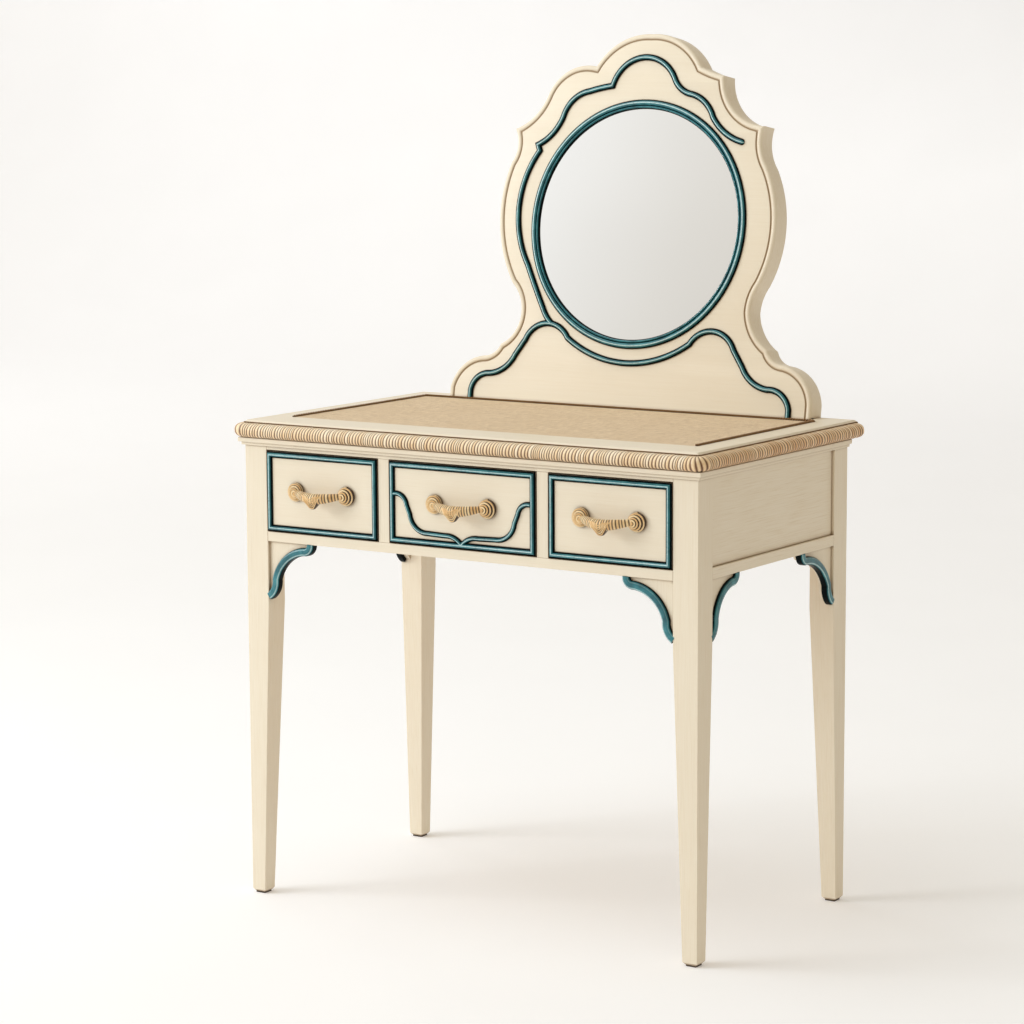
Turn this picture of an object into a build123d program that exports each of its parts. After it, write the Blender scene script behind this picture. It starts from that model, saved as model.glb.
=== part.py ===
from build123d import *
import os
from math import cos, pi, radians, sin, tan

# Vanity table with a mirror, in millimetres.
# X runs to the right, Y runs from the front to the back, Z runs up from the floor.
# The origin is on the floor, under the middle of the object's bounding box.

# ---------------------------------------------------------------- driving dimensions
# Table frame, measured over the outer faces of the legs
frame_width = 820
frame_depth = 460
deck_top = 760
deck_thickness = 27
leg_size = 42
foot_size = 25
taper_top = 470            # the legs are square above this height
glide_thickness = 2
foot_bevel = 4

apron_bottom = 571
cornice_bottom = 721
rail_depth = 22            # front rails and dividers, front to back
front_bottom_rail_height = 15.5
front_top_rail_height = 18
side_rail_height = 17
side_top_rail_height = 12
panel_thickness = 15
panel_recess = 5           # the side panels sit back from the legs
tenon_length = 14
rail_tenon = (6, 16)       # the rails' tenons, measured back from the front faces
panel_tenon = (3, 12)      # the panels' tenons, measured across their thickness
tenon_shoulder = 3         # above and below a tenon

# Top
deck_overhang = 2          # deck edge beyond the legs, at the front and the sides
deck_back_overhang = 30
deck_bevel = 4
rope_depth = 16
rope_height = 23
rope_rounding = 11
deck_corner = 6            # plan radius of the deck's front corners
rope_back_overhang = 2
cornice_projection = 8
cornice_step = 4
cornice_step_height = 5
inlay_half_width = 363
inlay_front_border = 69    # from the legs' front faces
inlay_back_border = 32     # from the legs' back faces
inlay_recess = 2.5
cord_width = 6
cord_height = 6
cord_rounding = 2.5

# Drawers
divider_width = 20
middle_opening = 268
drawer_gap = 1.5
drawer_front_thickness = 20
drawer_box_depth = 392
drawer_wall = 12
drawer_box_height = 108
drawer_clearance = 2       # a drawer box is this much narrower than its front, each side
drawer_bottom_thickness = 6
drawer_bottom_rise = 8
groove_depth = 5
runner_height = 12
runner_width = 20
runner_rise = 3.5          # above the front bottom rail
slide_gap = 0.5            # between a drawer box and its runners
guide_height = 24
guide_gap = 1
stop_length = 8
stop_height = 20
frame_bead_width = 10
middle_bead_width = 8
frame_bead_rounding = 3
bead_height = 5

# Handles
handle_height = 653
rosette_spacing = 98
rosette_radius = 15
rosette_depth = 14
rosette_rim = 3
grip_end_out = 8           # the grip's ends, out from the drawer front
grip_bow = 17              # how far the middle of the grip stands out beyond its ends
grip_sag = 5
grip_end_inset = 8         # the grip's ends, in from the rosettes' centres
grip_sections = 9
grip_end_radius = 5
grip_middle_radius = 8.5
drop_shape = (             # fall below the grip, half length, half depth
    (2, 19, 7),
    (8, 14, 6.5),
    (13, 8, 5),
    (17, 3, 2.5),
)

# Mirror
mirror_lean = radians(8.5)
mirror_thickness = 36
mirror_height = 602
mirror_shift = 6           # the mirror stands this far to the right of the middle
glass_centre = 295
glass_radius = 186         # as seen inside the ring
glass_edge = 6             # the glass runs this far under the ring
ring_width = 15
ring_rounding = 3.5
glass_thickness = 4
backing_thickness = 3
glass_recess = 8
rim_inset = 9
rim_groove = 2
bead_width = 10

strap_thickness = 3
strap_width = 30
strap_x = 190
strap_length = 150
strap_foot = 24
strap_screw_places = (40, 85, 130)         # up the board from its foot
strap_screw_length = 16

# Screws
screw_radius = 2.2
screw_head_radius = 4.5
screw_head_height = 2.5
handle_screw_length = 29

# Brackets
bracket_drop = 87          # where a scroll's line meets the leg, below the apron
front_bracket_reach = 88
side_near_reach = 82
side_far_reach = 105
back_bracket_reach = 60
back_bracket_drop = 90
scroll_width = 13
scroll_depth = 12
web_set_back = 5
web_thickness = 14

# ---------------------------------------------------------------- positions worked out from them
# The handles reach furthest forward and the top of the leaning mirror reaches furthest back.
front_reach = frame_depth / 2 + grip_end_out + grip_bow + grip_middle_radius
mirror_base_depth = mirror_thickness / cos(mirror_lean)
mirror_front_reach = frame_depth / 2 + deck_back_overhang - mirror_base_depth
mirror_top_reach = mirror_height * sin(mirror_lean) + mirror_thickness * cos(mirror_lean)
back_reach = mirror_front_reach + mirror_top_reach
frame_shift = (front_reach - back_reach) / 2

right = frame_width / 2
front = frame_shift - frame_depth / 2
back = frame_shift + frame_depth / 2
deck_bottom = deck_top - deck_thickness
leg_inner = right - leg_size
front_inner = front + leg_size
back_inner = back - leg_size
deck_right = right + deck_overhang
deck_front = front - deck_overhang
deck_back = back + deck_back_overhang
rope_corner = deck_corner + rope_depth
rail_back = front + rail_depth
opening_bottom = apron_bottom + front_bottom_rail_height
opening_top = deck_bottom - front_top_rail_height
divider_inner = middle_opening / 2
divider_outer = divider_inner + divider_width
runner_top = opening_bottom + runner_rise
runner_bottom = runner_top - runner_height
box_bottom = runner_top + slide_gap
side_opening = leg_inner - divider_outer
panel_outer = right - panel_recess
panel_inner = panel_outer - panel_thickness
back_panel_front = back - panel_recess - panel_thickness

os.makedirs("parts", exist_ok=True)


def save(builder, node_name):
    builder.part.label = node_name
    export_step(builder.part, f"parts/{node_name}.step")


def block(x_range, y_range, z_range, mode=Mode.ADD):
    """A box given by its limits, added to the part that is being built."""
    size = [high - low for low, high in (x_range, y_range, z_range)]
    centre = Vector(*[(high + low) / 2 for low, high in (x_range, y_range, z_range)])
    with Locations(centre):
        Box(*size, mode=mode)


def arc_chain(start, *stretches):
    """Lines and arcs end to end. A stretch is (end,) for a line or (via, end) for an arc."""
    here = start
    for stretch in stretches:
        if len(stretch) == 1:
            Line(here, stretch[0])
        else:
            ThreePointArc(here, *stretch)
        here = stretch[-1]


def make_screw(seat, outward, length):
    """A pan head screw: its head stands outward on the seat and its shank goes the other way."""
    with BuildSketch(Plane(origin=seat, z_dir=outward)) as head:
        Circle(screw_head_radius)
    extrude(head.sketch, amount=screw_head_height)
    with BuildSketch(Plane(origin=seat, z_dir=outward)) as shank:
        Circle(screw_radius)
    extrude(shank.sketch, amount=-length)


# ---------------------------------------------------------------- rails, panels and partitions
def rail_tenons(y_range, z_range):
    """Tenons at both ends of a rail that runs along X between two legs."""
    for side in (-1, 1):
        ends = sorted((side * leg_inner, side * (leg_inner + tenon_length)))
        block(ends, y_range, z_range)


rail_tenon_y = (front + rail_tenon[0], front + rail_tenon[1])

with BuildPart() as front_top_rail:
    block((-leg_inner, leg_inner), (front, rail_back), (opening_top, deck_bottom))
    rail_tenons(rail_tenon_y, (opening_top + tenon_shoulder, deck_bottom - tenon_shoulder))
save(front_top_rail, "front_top_rail")

with BuildPart() as front_bottom_rail:
    block((-leg_inner, leg_inner), (front, rail_back), (apron_bottom, opening_bottom))
    rail_tenons(rail_tenon_y, (apron_bottom + tenon_shoulder, opening_bottom - tenon_shoulder))
save(front_bottom_rail, "front_bottom_rail")

with BuildPart() as back_panel:
    block(
        (-leg_inner, leg_inner),
        (back_panel_front, back_panel_front + panel_thickness),
        (apron_bottom, deck_bottom),
    )
    rail_tenons(
        (back_panel_front + panel_tenon[0], back_panel_front + panel_tenon[1]),
        (apron_bottom + tenon_shoulder, deck_bottom - tenon_shoulder),
    )
save(back_panel, "back_panel")

with BuildPart() as drawer_dividers:
    for side in (-1, 1):
        block(
            sorted((side * divider_inner, side * divider_outer)),
            (front, rail_back),
            (opening_bottom, opening_top),
        )
save(drawer_dividers, "drawer_dividers")

with BuildPart() as drawer_partitions:
    for side in (-1, 1):
        block(
            sorted((side * divider_inner, side * divider_outer)),
            (rail_back, back_panel_front),
            (apron_bottom, deck_bottom),
        )
save(drawer_partitions, "drawer_partitions")


def make_side_board(side, outer, z_range):
    """A board between a front leg and a back leg, with a tenon at each end."""
    board_x = sorted((side * panel_inner, side * outer))
    tenon_x = sorted(side * (panel_inner + offset) for offset in panel_tenon)
    tenon_z = (z_range[0] + tenon_shoulder, z_range[1] - tenon_shoulder)
    block(board_x, (front_inner, back_inner), z_range)
    block(tenon_x, (front_inner - tenon_length, back_inner + tenon_length), tenon_z)


side_boards = []
for side, hand in ((-1, "left"), (1, "right")):
    with BuildPart() as side_rails:
        make_side_board(side, right, (apron_bottom, apron_bottom + side_rail_height))
        make_side_board(side, right, (deck_bottom - side_top_rail_height, deck_bottom))
    save(side_rails, f"side_rails_{hand}")

    with BuildPart() as side_panel:
        panel_z = (apron_bottom + side_rail_height, deck_bottom - side_top_rail_height)
        make_side_board(side, panel_outer, panel_z)
    save(side_panel, f"side_panel_{hand}")
    side_boards += [side_rails.part, side_panel.part]

# ---------------------------------------------------------------- legs and glides
leg_corners = [
    (-1, -1, "leg_front_left"),
    (1, -1, "leg_front_right"),
    (-1, 1, "leg_back_left"),
    (1, 1, "leg_back_right"),
]


def corner_square(side, end, size):
    """A square that keeps the leg's two outer faces, however small it is."""
    outer_y = front if end < 0 else back
    with Locations((side * (right - size / 2), outer_y - end * size / 2)):
        Rectangle(size, size)


leg_parts = []
for side, end, leg_name in leg_corners:
    with BuildPart() as leg:
        with BuildSketch(Plane.XY.offset(taper_top)):
            corner_square(side, end, leg_size)
        extrude(amount=deck_bottom - taper_top)
        with BuildSketch(Plane.XY.offset(glide_thickness)):
            corner_square(side, end, foot_size)
        with BuildSketch(Plane.XY.offset(taper_top)):
            corner_square(side, end, leg_size)
        loft()
        chamfer(leg.faces().sort_by(Axis.Z)[0].edges(), foot_bevel)
        for board in side_boards + [front_top_rail.part, front_bottom_rail.part, back_panel.part]:
            add(board, mode=Mode.SUBTRACT)
    save(leg, leg_name)
    leg_parts.append(leg.part)

with BuildPart() as foot_glides:
    with BuildSketch():
        for side, end, _ in leg_corners:
            outer_y = front if end < 0 else back
            with Locations((side * (right - foot_size / 2), outer_y - end * foot_size / 2)):
                Rectangle(foot_size - 2 * foot_bevel, foot_size - 2 * foot_bevel)
    extrude(amount=glide_thickness)
save(foot_glides, "foot_glides")

# ---------------------------------------------------------------- runners and stops
with BuildPart() as drawer_runners:
    for side in (-1, 1):
        # beside the side panel: a ledge with a guide standing on it
        with BuildSketch(Plane.XZ.offset(-rail_back)):
            guide_inner = leg_inner - drawer_gap - drawer_clearance + guide_gap
            ledge_inner = guide_inner - runner_width
            Polygon(
                (side * ledge_inner, runner_bottom),
                (side * panel_inner, runner_bottom),
                (side * panel_inner, runner_top + guide_height),
                (side * guide_inner, runner_top + guide_height),
                (side * guide_inner, runner_top),
                (side * ledge_inner, runner_top),
                align=None,
            )
        extrude(amount=-(back_panel_front - rail_back))
        for leg_part in leg_parts:
            add(leg_part, mode=Mode.SUBTRACT)
        # on both faces of the partition
        for edge, outward in ((divider_inner, -1), (divider_outer, 1)):
            block(
                sorted((side * edge, side * (edge + outward * runner_width))),
                (rail_back, back_panel_front),
                (runner_bottom, runner_top),
            )
save(drawer_runners, "drawer_runners")

with BuildPart() as drawer_stops:
    for side in (-1, 1):
        for edge, outward in ((divider_inner, -1), (divider_outer, 1)):
            block(
                sorted((side * edge, side * (edge + outward * runner_width))),
                (back_panel_front - stop_length, back_panel_front),
                (runner_top, runner_top + stop_height),
            )
save(drawer_stops, "drawer_stops")

# ---------------------------------------------------------------- straps that hold the mirror board
mirror_front = deck_back - mirror_base_depth
mirror_face = Plane(
    origin=(mirror_shift, mirror_front, deck_top),
    x_dir=(1, 0, 0),
    z_dir=(0, -cos(mirror_lean), sin(mirror_lean)),
)

strap_bend = deck_top - strap_thickness * tan(mirror_lean / 2)
board_back_direction = Vector(0, sin(mirror_lean), cos(mirror_lean))
board_back_normal = Vector(0, cos(mirror_lean), -sin(mirror_lean))
strap_start = Vector(0, deck_back, deck_top)


with BuildPart() as mirror_strap_screws:
    for side in (-1, 1):
        sideways = Vector(side * strap_x, 0, 0)
        for along in strap_screw_places:
            seat = strap_start + board_back_direction * along + board_back_normal * strap_thickness
            make_screw(seat + sideways, board_back_normal, strap_screw_length)
        low_seat = Vector(side * strap_x, deck_back + strap_thickness, deck_top - strap_foot / 2)
        make_screw(low_seat, Vector(0, 1, 0), strap_screw_length)
save(mirror_strap_screws, "mirror_strap_screws")

with BuildPart() as mirror_straps:
    inner_top = strap_start + board_back_direction * strap_length
    outer_top = inner_top + board_back_normal * strap_thickness
    for side in (-1, 1):
        with BuildSketch(Plane.YZ.offset(side * strap_x - strap_width / 2)):
            # flat on the deck's back edge, then bent to follow the leaning board
            Polygon(
                (deck_back, deck_top - strap_foot),
                (deck_back + strap_thickness, deck_top - strap_foot),
                (deck_back + strap_thickness, strap_bend),
                (outer_top.Y, outer_top.Z),
                (inner_top.Y, inner_top.Z),
                (deck_back, deck_top),
                align=None,
            )
        extrude(amount=strap_width)
    add(mirror_strap_screws.part, mode=Mode.SUBTRACT)
save(mirror_straps, "mirror_straps")

# ---------------------------------------------------------------- cornice, deck, rope edge and inlay
with BuildPart() as cornice:
    step_top = cornice_bottom + cornice_step_height
    cornice_layers = (
        (cornice_step, cornice_bottom, step_top),
        (cornice_projection, step_top, deck_bottom),
    )
    for projection, low, high in cornice_layers:
        block((-right - projection, right + projection), (front - projection, back), (low, high))
    block((-right, right), (front, back + 1), (cornice_bottom - 1, deck_bottom + 1), Mode.SUBTRACT)
    for side in (-1, 1):
        mitre = Plane(origin=(side * right, front, 0), z_dir=(1, side, 0))
        split(bisect_by=mitre, keep=Keep.BOTH)
save(cornice, "cornice")

inlay_front = front + inlay_front_border
inlay_back = back - inlay_back_border
with BuildPart() as deck_board:
    block((-deck_right, deck_right), (deck_front, deck_back), (deck_bottom, deck_top))
    fillet(deck_board.edges().filter_by(Axis.Z).group_by(Axis.Y)[0], deck_corner)
    chamfer(deck_board.faces().sort_by(Axis.Z)[-1].edges(), deck_bevel)
    block(
        (-inlay_half_width - cord_width, inlay_half_width + cord_width),
        (inlay_front, inlay_back + cord_width),
        (deck_top - inlay_recess, deck_top + 1),
        Mode.SUBTRACT,
    )
    add(mirror_strap_screws.part, mode=Mode.SUBTRACT)
save(deck_board, "deck_board")

with BuildPart() as inlay_panel:
    block(
        (-inlay_half_width, inlay_half_width),
        (inlay_front, inlay_back),
        (deck_top - inlay_recess, deck_top),
    )
save(inlay_panel, "inlay_panel")

with BuildPart() as inlay_cord:
    block(
        (-inlay_half_width - cord_width, inlay_half_width + cord_width),
        (inlay_front, inlay_back + cord_width),
        (deck_top - inlay_recess, deck_top - inlay_recess + cord_height),
    )
    block(
        (-inlay_half_width, inlay_half_width),
        (inlay_front - 1, inlay_back),
        (deck_top - inlay_recess, deck_top + cord_height),
        Mode.SUBTRACT,
    )
    fillet(inlay_cord.faces().sort_by(Axis.Z)[-1].edges(), cord_rounding)
save(inlay_cord, "inlay_cord")

with BuildPart() as rope_edge:
    rope_right = deck_right + rope_depth
    rope_front = deck_front - rope_depth
    rope_back = deck_back + rope_back_overhang
    with BuildSketch(Plane.XY.offset(deck_bottom)):
        with Locations((0, (rope_front + rope_back) / 2)):
            RectangleRounded(2 * rope_right, rope_back - rope_front, rope_corner)
    extrude(amount=rope_height)
    outer_rims = rope_edge.edges().filter_by(Axis.Z, reverse=True)
    fillet(outer_rims, rope_rounding)
    # the deck's seat, which runs out at the back
    seat_back = rope_back + 2 * deck_corner
    with BuildSketch(Plane.XY.offset(deck_bottom)):
        with Locations((0, (deck_front + seat_back) / 2)):
            RectangleRounded(2 * deck_right, seat_back - deck_front, deck_corner)
    extrude(amount=deck_thickness, mode=Mode.SUBTRACT)
save(rope_edge, "rope_edge")


# ---------------------------------------------------------------- brackets and scrolls
up = Vector(0, 0, 1)


def scroll_arcs(reach):
    """The concave sweep that a scroll and its web share. The corner of leg and apron is at (0, 0)."""
    return (
        ((-0.37 * reach, -28), (-13, -60)),
        ((-9, -78), (0, -bracket_drop)),
    )


def draw_scroll_line(reach):
    arc_chain((-reach + 7, 0), ((-reach + 10, -9), (-reach + 20, -12.5)), *scroll_arcs(reach))


def draw_web_outline(reach):
    arc_chain(
        (0, 0),
        ((-reach + 7, 0),),
        ((-reach + 10, -9), (-reach + 20, -12.5)),
        *scroll_arcs(reach),
        ((0, 0),),
    )


def bracket_frame(corner, toward_leg):
    """A plane whose x runs to the leg and whose y runs up, with the corner as its origin."""
    return Plane(origin=corner, x_dir=toward_leg, z_dir=toward_leg.cross(up))


def inward_amount(plane, inward, depth):
    return depth if plane.z_dir.dot(inward) > 0 else -depth


def make_scroll(corner, toward_leg, inward, reach):
    plane = bracket_frame(corner - inward, toward_leg)
    with BuildSketch(plane) as band:
        with BuildLine():
            draw_scroll_line(reach)
        trace(line_width=scroll_width)
    extrude(band.sketch, amount=inward_amount(plane, inward, scroll_depth))


def make_web(corner, toward_leg, inward, reach):
    plane = bracket_frame(corner + inward * web_set_back, toward_leg)
    with BuildSketch(plane) as outline:
        with BuildLine():
            draw_web_outline(reach)
        make_face()
    extrude(outline.sketch, amount=inward_amount(plane, inward, web_thickness))


# where each bracket stands: corner, direction to the leg, direction inward, reach along the apron
front_spots = []
side_spots = []
for side in (-1, 1):
    sideways = Vector(side, 0, 0)
    front_corner = Vector(side * leg_inner, front, apron_bottom)
    near_corner = Vector(side * right, front_inner, apron_bottom)
    far_corner = Vector(side * right, back_inner, apron_bottom)
    front_spots += [(front_corner, sideways, Vector(0, 1, 0), front_bracket_reach)]
    side_spots += [
        (near_corner, Vector(0, -1, 0), -sideways, side_near_reach),
        (far_corner, Vector(0, 1, 0), -sideways, side_far_reach),
    ]

frame_parts = leg_parts + side_boards + [front_bottom_rail.part]

for place, spots in (("front", front_spots), ("side", side_spots)):
    with BuildPart() as scrolls:
        for spot in spots:
            make_scroll(*spot)
        for neighbour in frame_parts:
            add(neighbour, mode=Mode.SUBTRACT)
    save(scrolls, f"scrolls_{place}")

    with BuildPart() as brackets:
        for spot in spots:
            make_web(*spot)
        add(scrolls.part, mode=Mode.SUBTRACT)
    save(brackets, f"brackets_{place}")

with BuildPart() as brackets_back:
    for side in (-1, 1):
        corner = Vector(side * leg_inner, back_panel_front, apron_bottom)
        plane = bracket_frame(corner, Vector(side, 0, 0))
        with BuildSketch(plane):
            with BuildLine():
                arc_chain(
                    (0, 0),
                    ((-back_bracket_reach, 0),),
                    ((-18, -32), (0, -back_bracket_drop)),
                    ((0, 0),),
                )
            make_face()
        extrude(amount=inward_amount(plane, Vector(0, 1, 0), panel_thickness))
save(brackets_back, "brackets_back")

# ---------------------------------------------------------------- mirror board
board_foot = -20           # the outline starts below the deck and is cut off level with it


def draw_board_outline():
    """Right side up to the crest, then down the left side. The two shoulders differ."""
    crest = (0, mirror_height)
    arc_chain(
        (341, board_foot),
        ((341, 22),),
        ((321, 64), (284, 82)),                # foot
        ((265, 90), (256, 104)),               # step
        ((230, 130), (219, 162)),              # waist
        ((223, 186), (233, 206)),
        ((254, 300), (230, 392)),              # belly
        ((217, 424), (219, 456)),              # ear
        ((164, 479), (140, 535)),              # shoulder sweep
        ((117, 541), (97, 549)),
        ((62, 586), crest),                    # crest
        ((-69, 583), (-101, 550)),
        ((-163, 537), (-190, 503)),            # rounded left shoulder
        ((-213, 469), (-249, 447)),            # left ear
        ((-242, 420), (-252, 392)),
        ((-267, 308), (-232, 192)),            # belly
        ((-211, 150), (-246, 92)),             # waist
        ((-256, 79), (-274, 71)),              # step
        ((-318, 53), (-340, 16)),              # foot
        ((-340, board_foot),),
        ((341, board_foot),),
    )


with BuildSketch() as board_outline:
    with BuildLine():
        draw_board_outline()
    make_face()

glass_pocket_radius = glass_radius + glass_edge
with BuildPart() as mirror_board:
    with BuildSketch(mirror_face):
        add(board_outline.sketch)
    extrude(amount=-mirror_thickness)
    with BuildSketch(mirror_face):
        offset(board_outline.sketch, amount=-rim_inset, kind=Kind.ARC)
        inner_edge = -rim_inset - rim_groove
        offset(board_outline.sketch, amount=inner_edge, kind=Kind.ARC, mode=Mode.SUBTRACT)
    extrude(amount=-rim_groove, mode=Mode.SUBTRACT)
    with BuildSketch(mirror_face):
        with Locations((0, glass_centre)):
            Circle(glass_pocket_radius)
    extrude(amount=-glass_recess, mode=Mode.SUBTRACT)
    split(bisect_by=Plane.XY.offset(deck_top), keep=Keep.TOP)
    add(mirror_strap_screws.part, mode=Mode.SUBTRACT)
save(mirror_board, "mirror_board")

with BuildPart() as mirror_backing:
    with BuildSketch(mirror_face.offset(-glass_recess)):
        with Locations((0, glass_centre)):
            Circle(glass_pocket_radius)
    extrude(amount=backing_thickness)
save(mirror_backing, "mirror_backing")

with BuildPart() as mirror_glass:
    with BuildSketch(mirror_face.offset(-glass_recess + backing_thickness)):
        with Locations((0, glass_centre)):
            Circle(glass_pocket_radius)
    extrude(amount=glass_thickness)
save(mirror_glass, "mirror_glass")

ring_lip = glass_recess - backing_thickness - glass_thickness
with BuildPart() as mirror_ring:
    with BuildSketch(mirror_face):
        with Locations((0, glass_centre)):
            Circle(glass_radius + ring_width)
            Circle(glass_radius, mode=Mode.SUBTRACT)
    extrude(amount=bead_height)
    fillet(mirror_ring.faces().sort_by(Axis.Y)[0].edges(), ring_rounding)
    with BuildSketch(mirror_face):
        with Locations((0, glass_centre)):
            Circle(glass_pocket_radius)
            Circle(glass_radius, mode=Mode.SUBTRACT)
    extrude(amount=-ring_lip)
save(mirror_ring, "mirror_ring")


# ---------------------------------------------------------------- beads on the mirror board
def make_bead(plane, draw_path):
    """A strip with rounded shoulders that stands on the plane along a path."""
    with BuildSketch(plane) as strip:
        with BuildLine():
            draw_path()
        trace(line_width=bead_width)
    extrude(strip.sketch, amount=bead_height)


def draw_upper_bead():
    arc_chain(
        (-200, 421),
        ((-172, 441), (-155, 468)),
        ((-137, 496), (-108, 509)),
        ((-88, 514), (-65, 518)),              # inner cusp
        ((-8, 564), (50, 531)),                # under the crest
        ((62, 515), (84, 505)),
        ((112, 490), (126, 469)),
        ((149, 445), (182, 430)),              # blunt end
    )


def draw_left_bead():
    arc_chain(
        (-196, 411),
        ((-228, 325), (-203, 224)),
        ((-184, 186), (-166, 152)),
        ((-158, 141), (-149, 136)),
    )


def draw_lower_bead():
    arc_chain(
        (-297, 1),
        ((-297, 12),),
        ((-286, 33), (-262, 42)),              # left foot
        ((-234, 52), (-214, 75)),
        ((-196, 101),),
        ((-153, 129), (-115, 107)),            # left peak
        ((0, 71), (115, 107)),                 # under the ring
        ((153, 129), (196, 101)),              # right peak
        ((214, 75),),
        ((234, 52), (262, 42)),
        ((290, 33), (302, 12)),                # right foot
        ((302, 1),),
    )


with BuildPart() as bead_lower:
    make_bead(mirror_face, draw_lower_bead)
save(bead_lower, "bead_lower")

with BuildPart() as bead_upper:
    make_bead(mirror_face, draw_upper_bead)
save(bead_upper, "bead_upper")

with BuildPart() as bead_left:
    make_bead(mirror_face, draw_left_bead)
    add(bead_lower.part, mode=Mode.SUBTRACT)
    add(bead_upper.part, mode=Mode.SUBTRACT)
save(bead_left, "bead_left")

# ---------------------------------------------------------------- drawers
drawer_front_back = front + drawer_front_thickness
drawer_back = drawer_front_back + drawer_box_depth


def draw_middle_bead_half(side):
    """The curved bead of the middle drawer, from its lowest point out to the frame bead."""
    arc_chain(
        (0, 594),
        ((side * 12, 603), (side * 30, 606)),
        ((side * 62, 607),),
        ((side * 84, 614), (side * 95, 634)),
        ((side * 101, 648),),
        ((side * 109, 661), (side * 124, 664)),
    )


def make_grip(centre_x):
    """A bow that is thickest in the middle, with a rounded drop under it."""
    half_span = rosette_spacing / 2 - grip_end_inset
    sections = []
    for i in range(grip_sections):
        along = 2 * i / (grip_sections - 1) - 1
        swell = cos(along * pi / 2)
        slope = -sin(along * pi / 2) * pi / 2
        middle = Vector(
            centre_x + half_span * along,
            front - grip_end_out - grip_bow * swell,
            handle_height - grip_sag * swell,
        )
        tangent = Vector(half_span, -grip_bow * slope, -grip_sag * slope)
        with BuildSketch(Plane(origin=middle, z_dir=tangent)) as section:
            Circle(grip_end_radius + (grip_middle_radius - grip_end_radius) * swell)
        sections.append(section.sketch.face())
    loft(sections)

    # the drop: a wide oval under the grip that narrows to a rounded tip
    drop_ovals = []
    for fall, half_length, half_depth in drop_shape:
        centre = (centre_x, front - grip_end_out - grip_bow, handle_height - grip_sag - fall)
        with BuildSketch(Plane(origin=centre)) as oval:
            Ellipse(half_length, half_depth)
        drop_ovals.append(oval.sketch.face())
    loft(drop_ovals)


def make_rosette(centre_x):
    """A disc with a spherical dome on it."""
    seat = Vector(centre_x, front, handle_height)
    dome_height = rosette_depth - rosette_rim
    dome_radius = (rosette_radius**2 + dome_height**2) / (2 * dome_height)
    dome_centre = -rosette_depth + dome_radius
    with BuildSketch(Plane(origin=seat, x_dir=(1, 0, 0), z_dir=(0, 0, 1))) as half_profile:
        with BuildLine():
            arc_chain(
                (0, 0),
                ((rosette_radius, 0),),
                ((rosette_radius, -rosette_rim),),
                (
                    (dome_radius * sin(pi / 6), dome_centre - dome_radius * cos(pi / 6)),
                    (0, -rosette_depth),
                ),
                ((0, 0),),
            )
        make_face()
    revolve(half_profile.sketch, axis=Axis(seat, (0, 1, 0)))


side_centre = (leg_inner + divider_outer) / 2
drawers = (
    ("left", -side_centre, side_opening),
    ("middle", 0, middle_opening),
    ("right", side_centre, side_opening),
)

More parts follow.
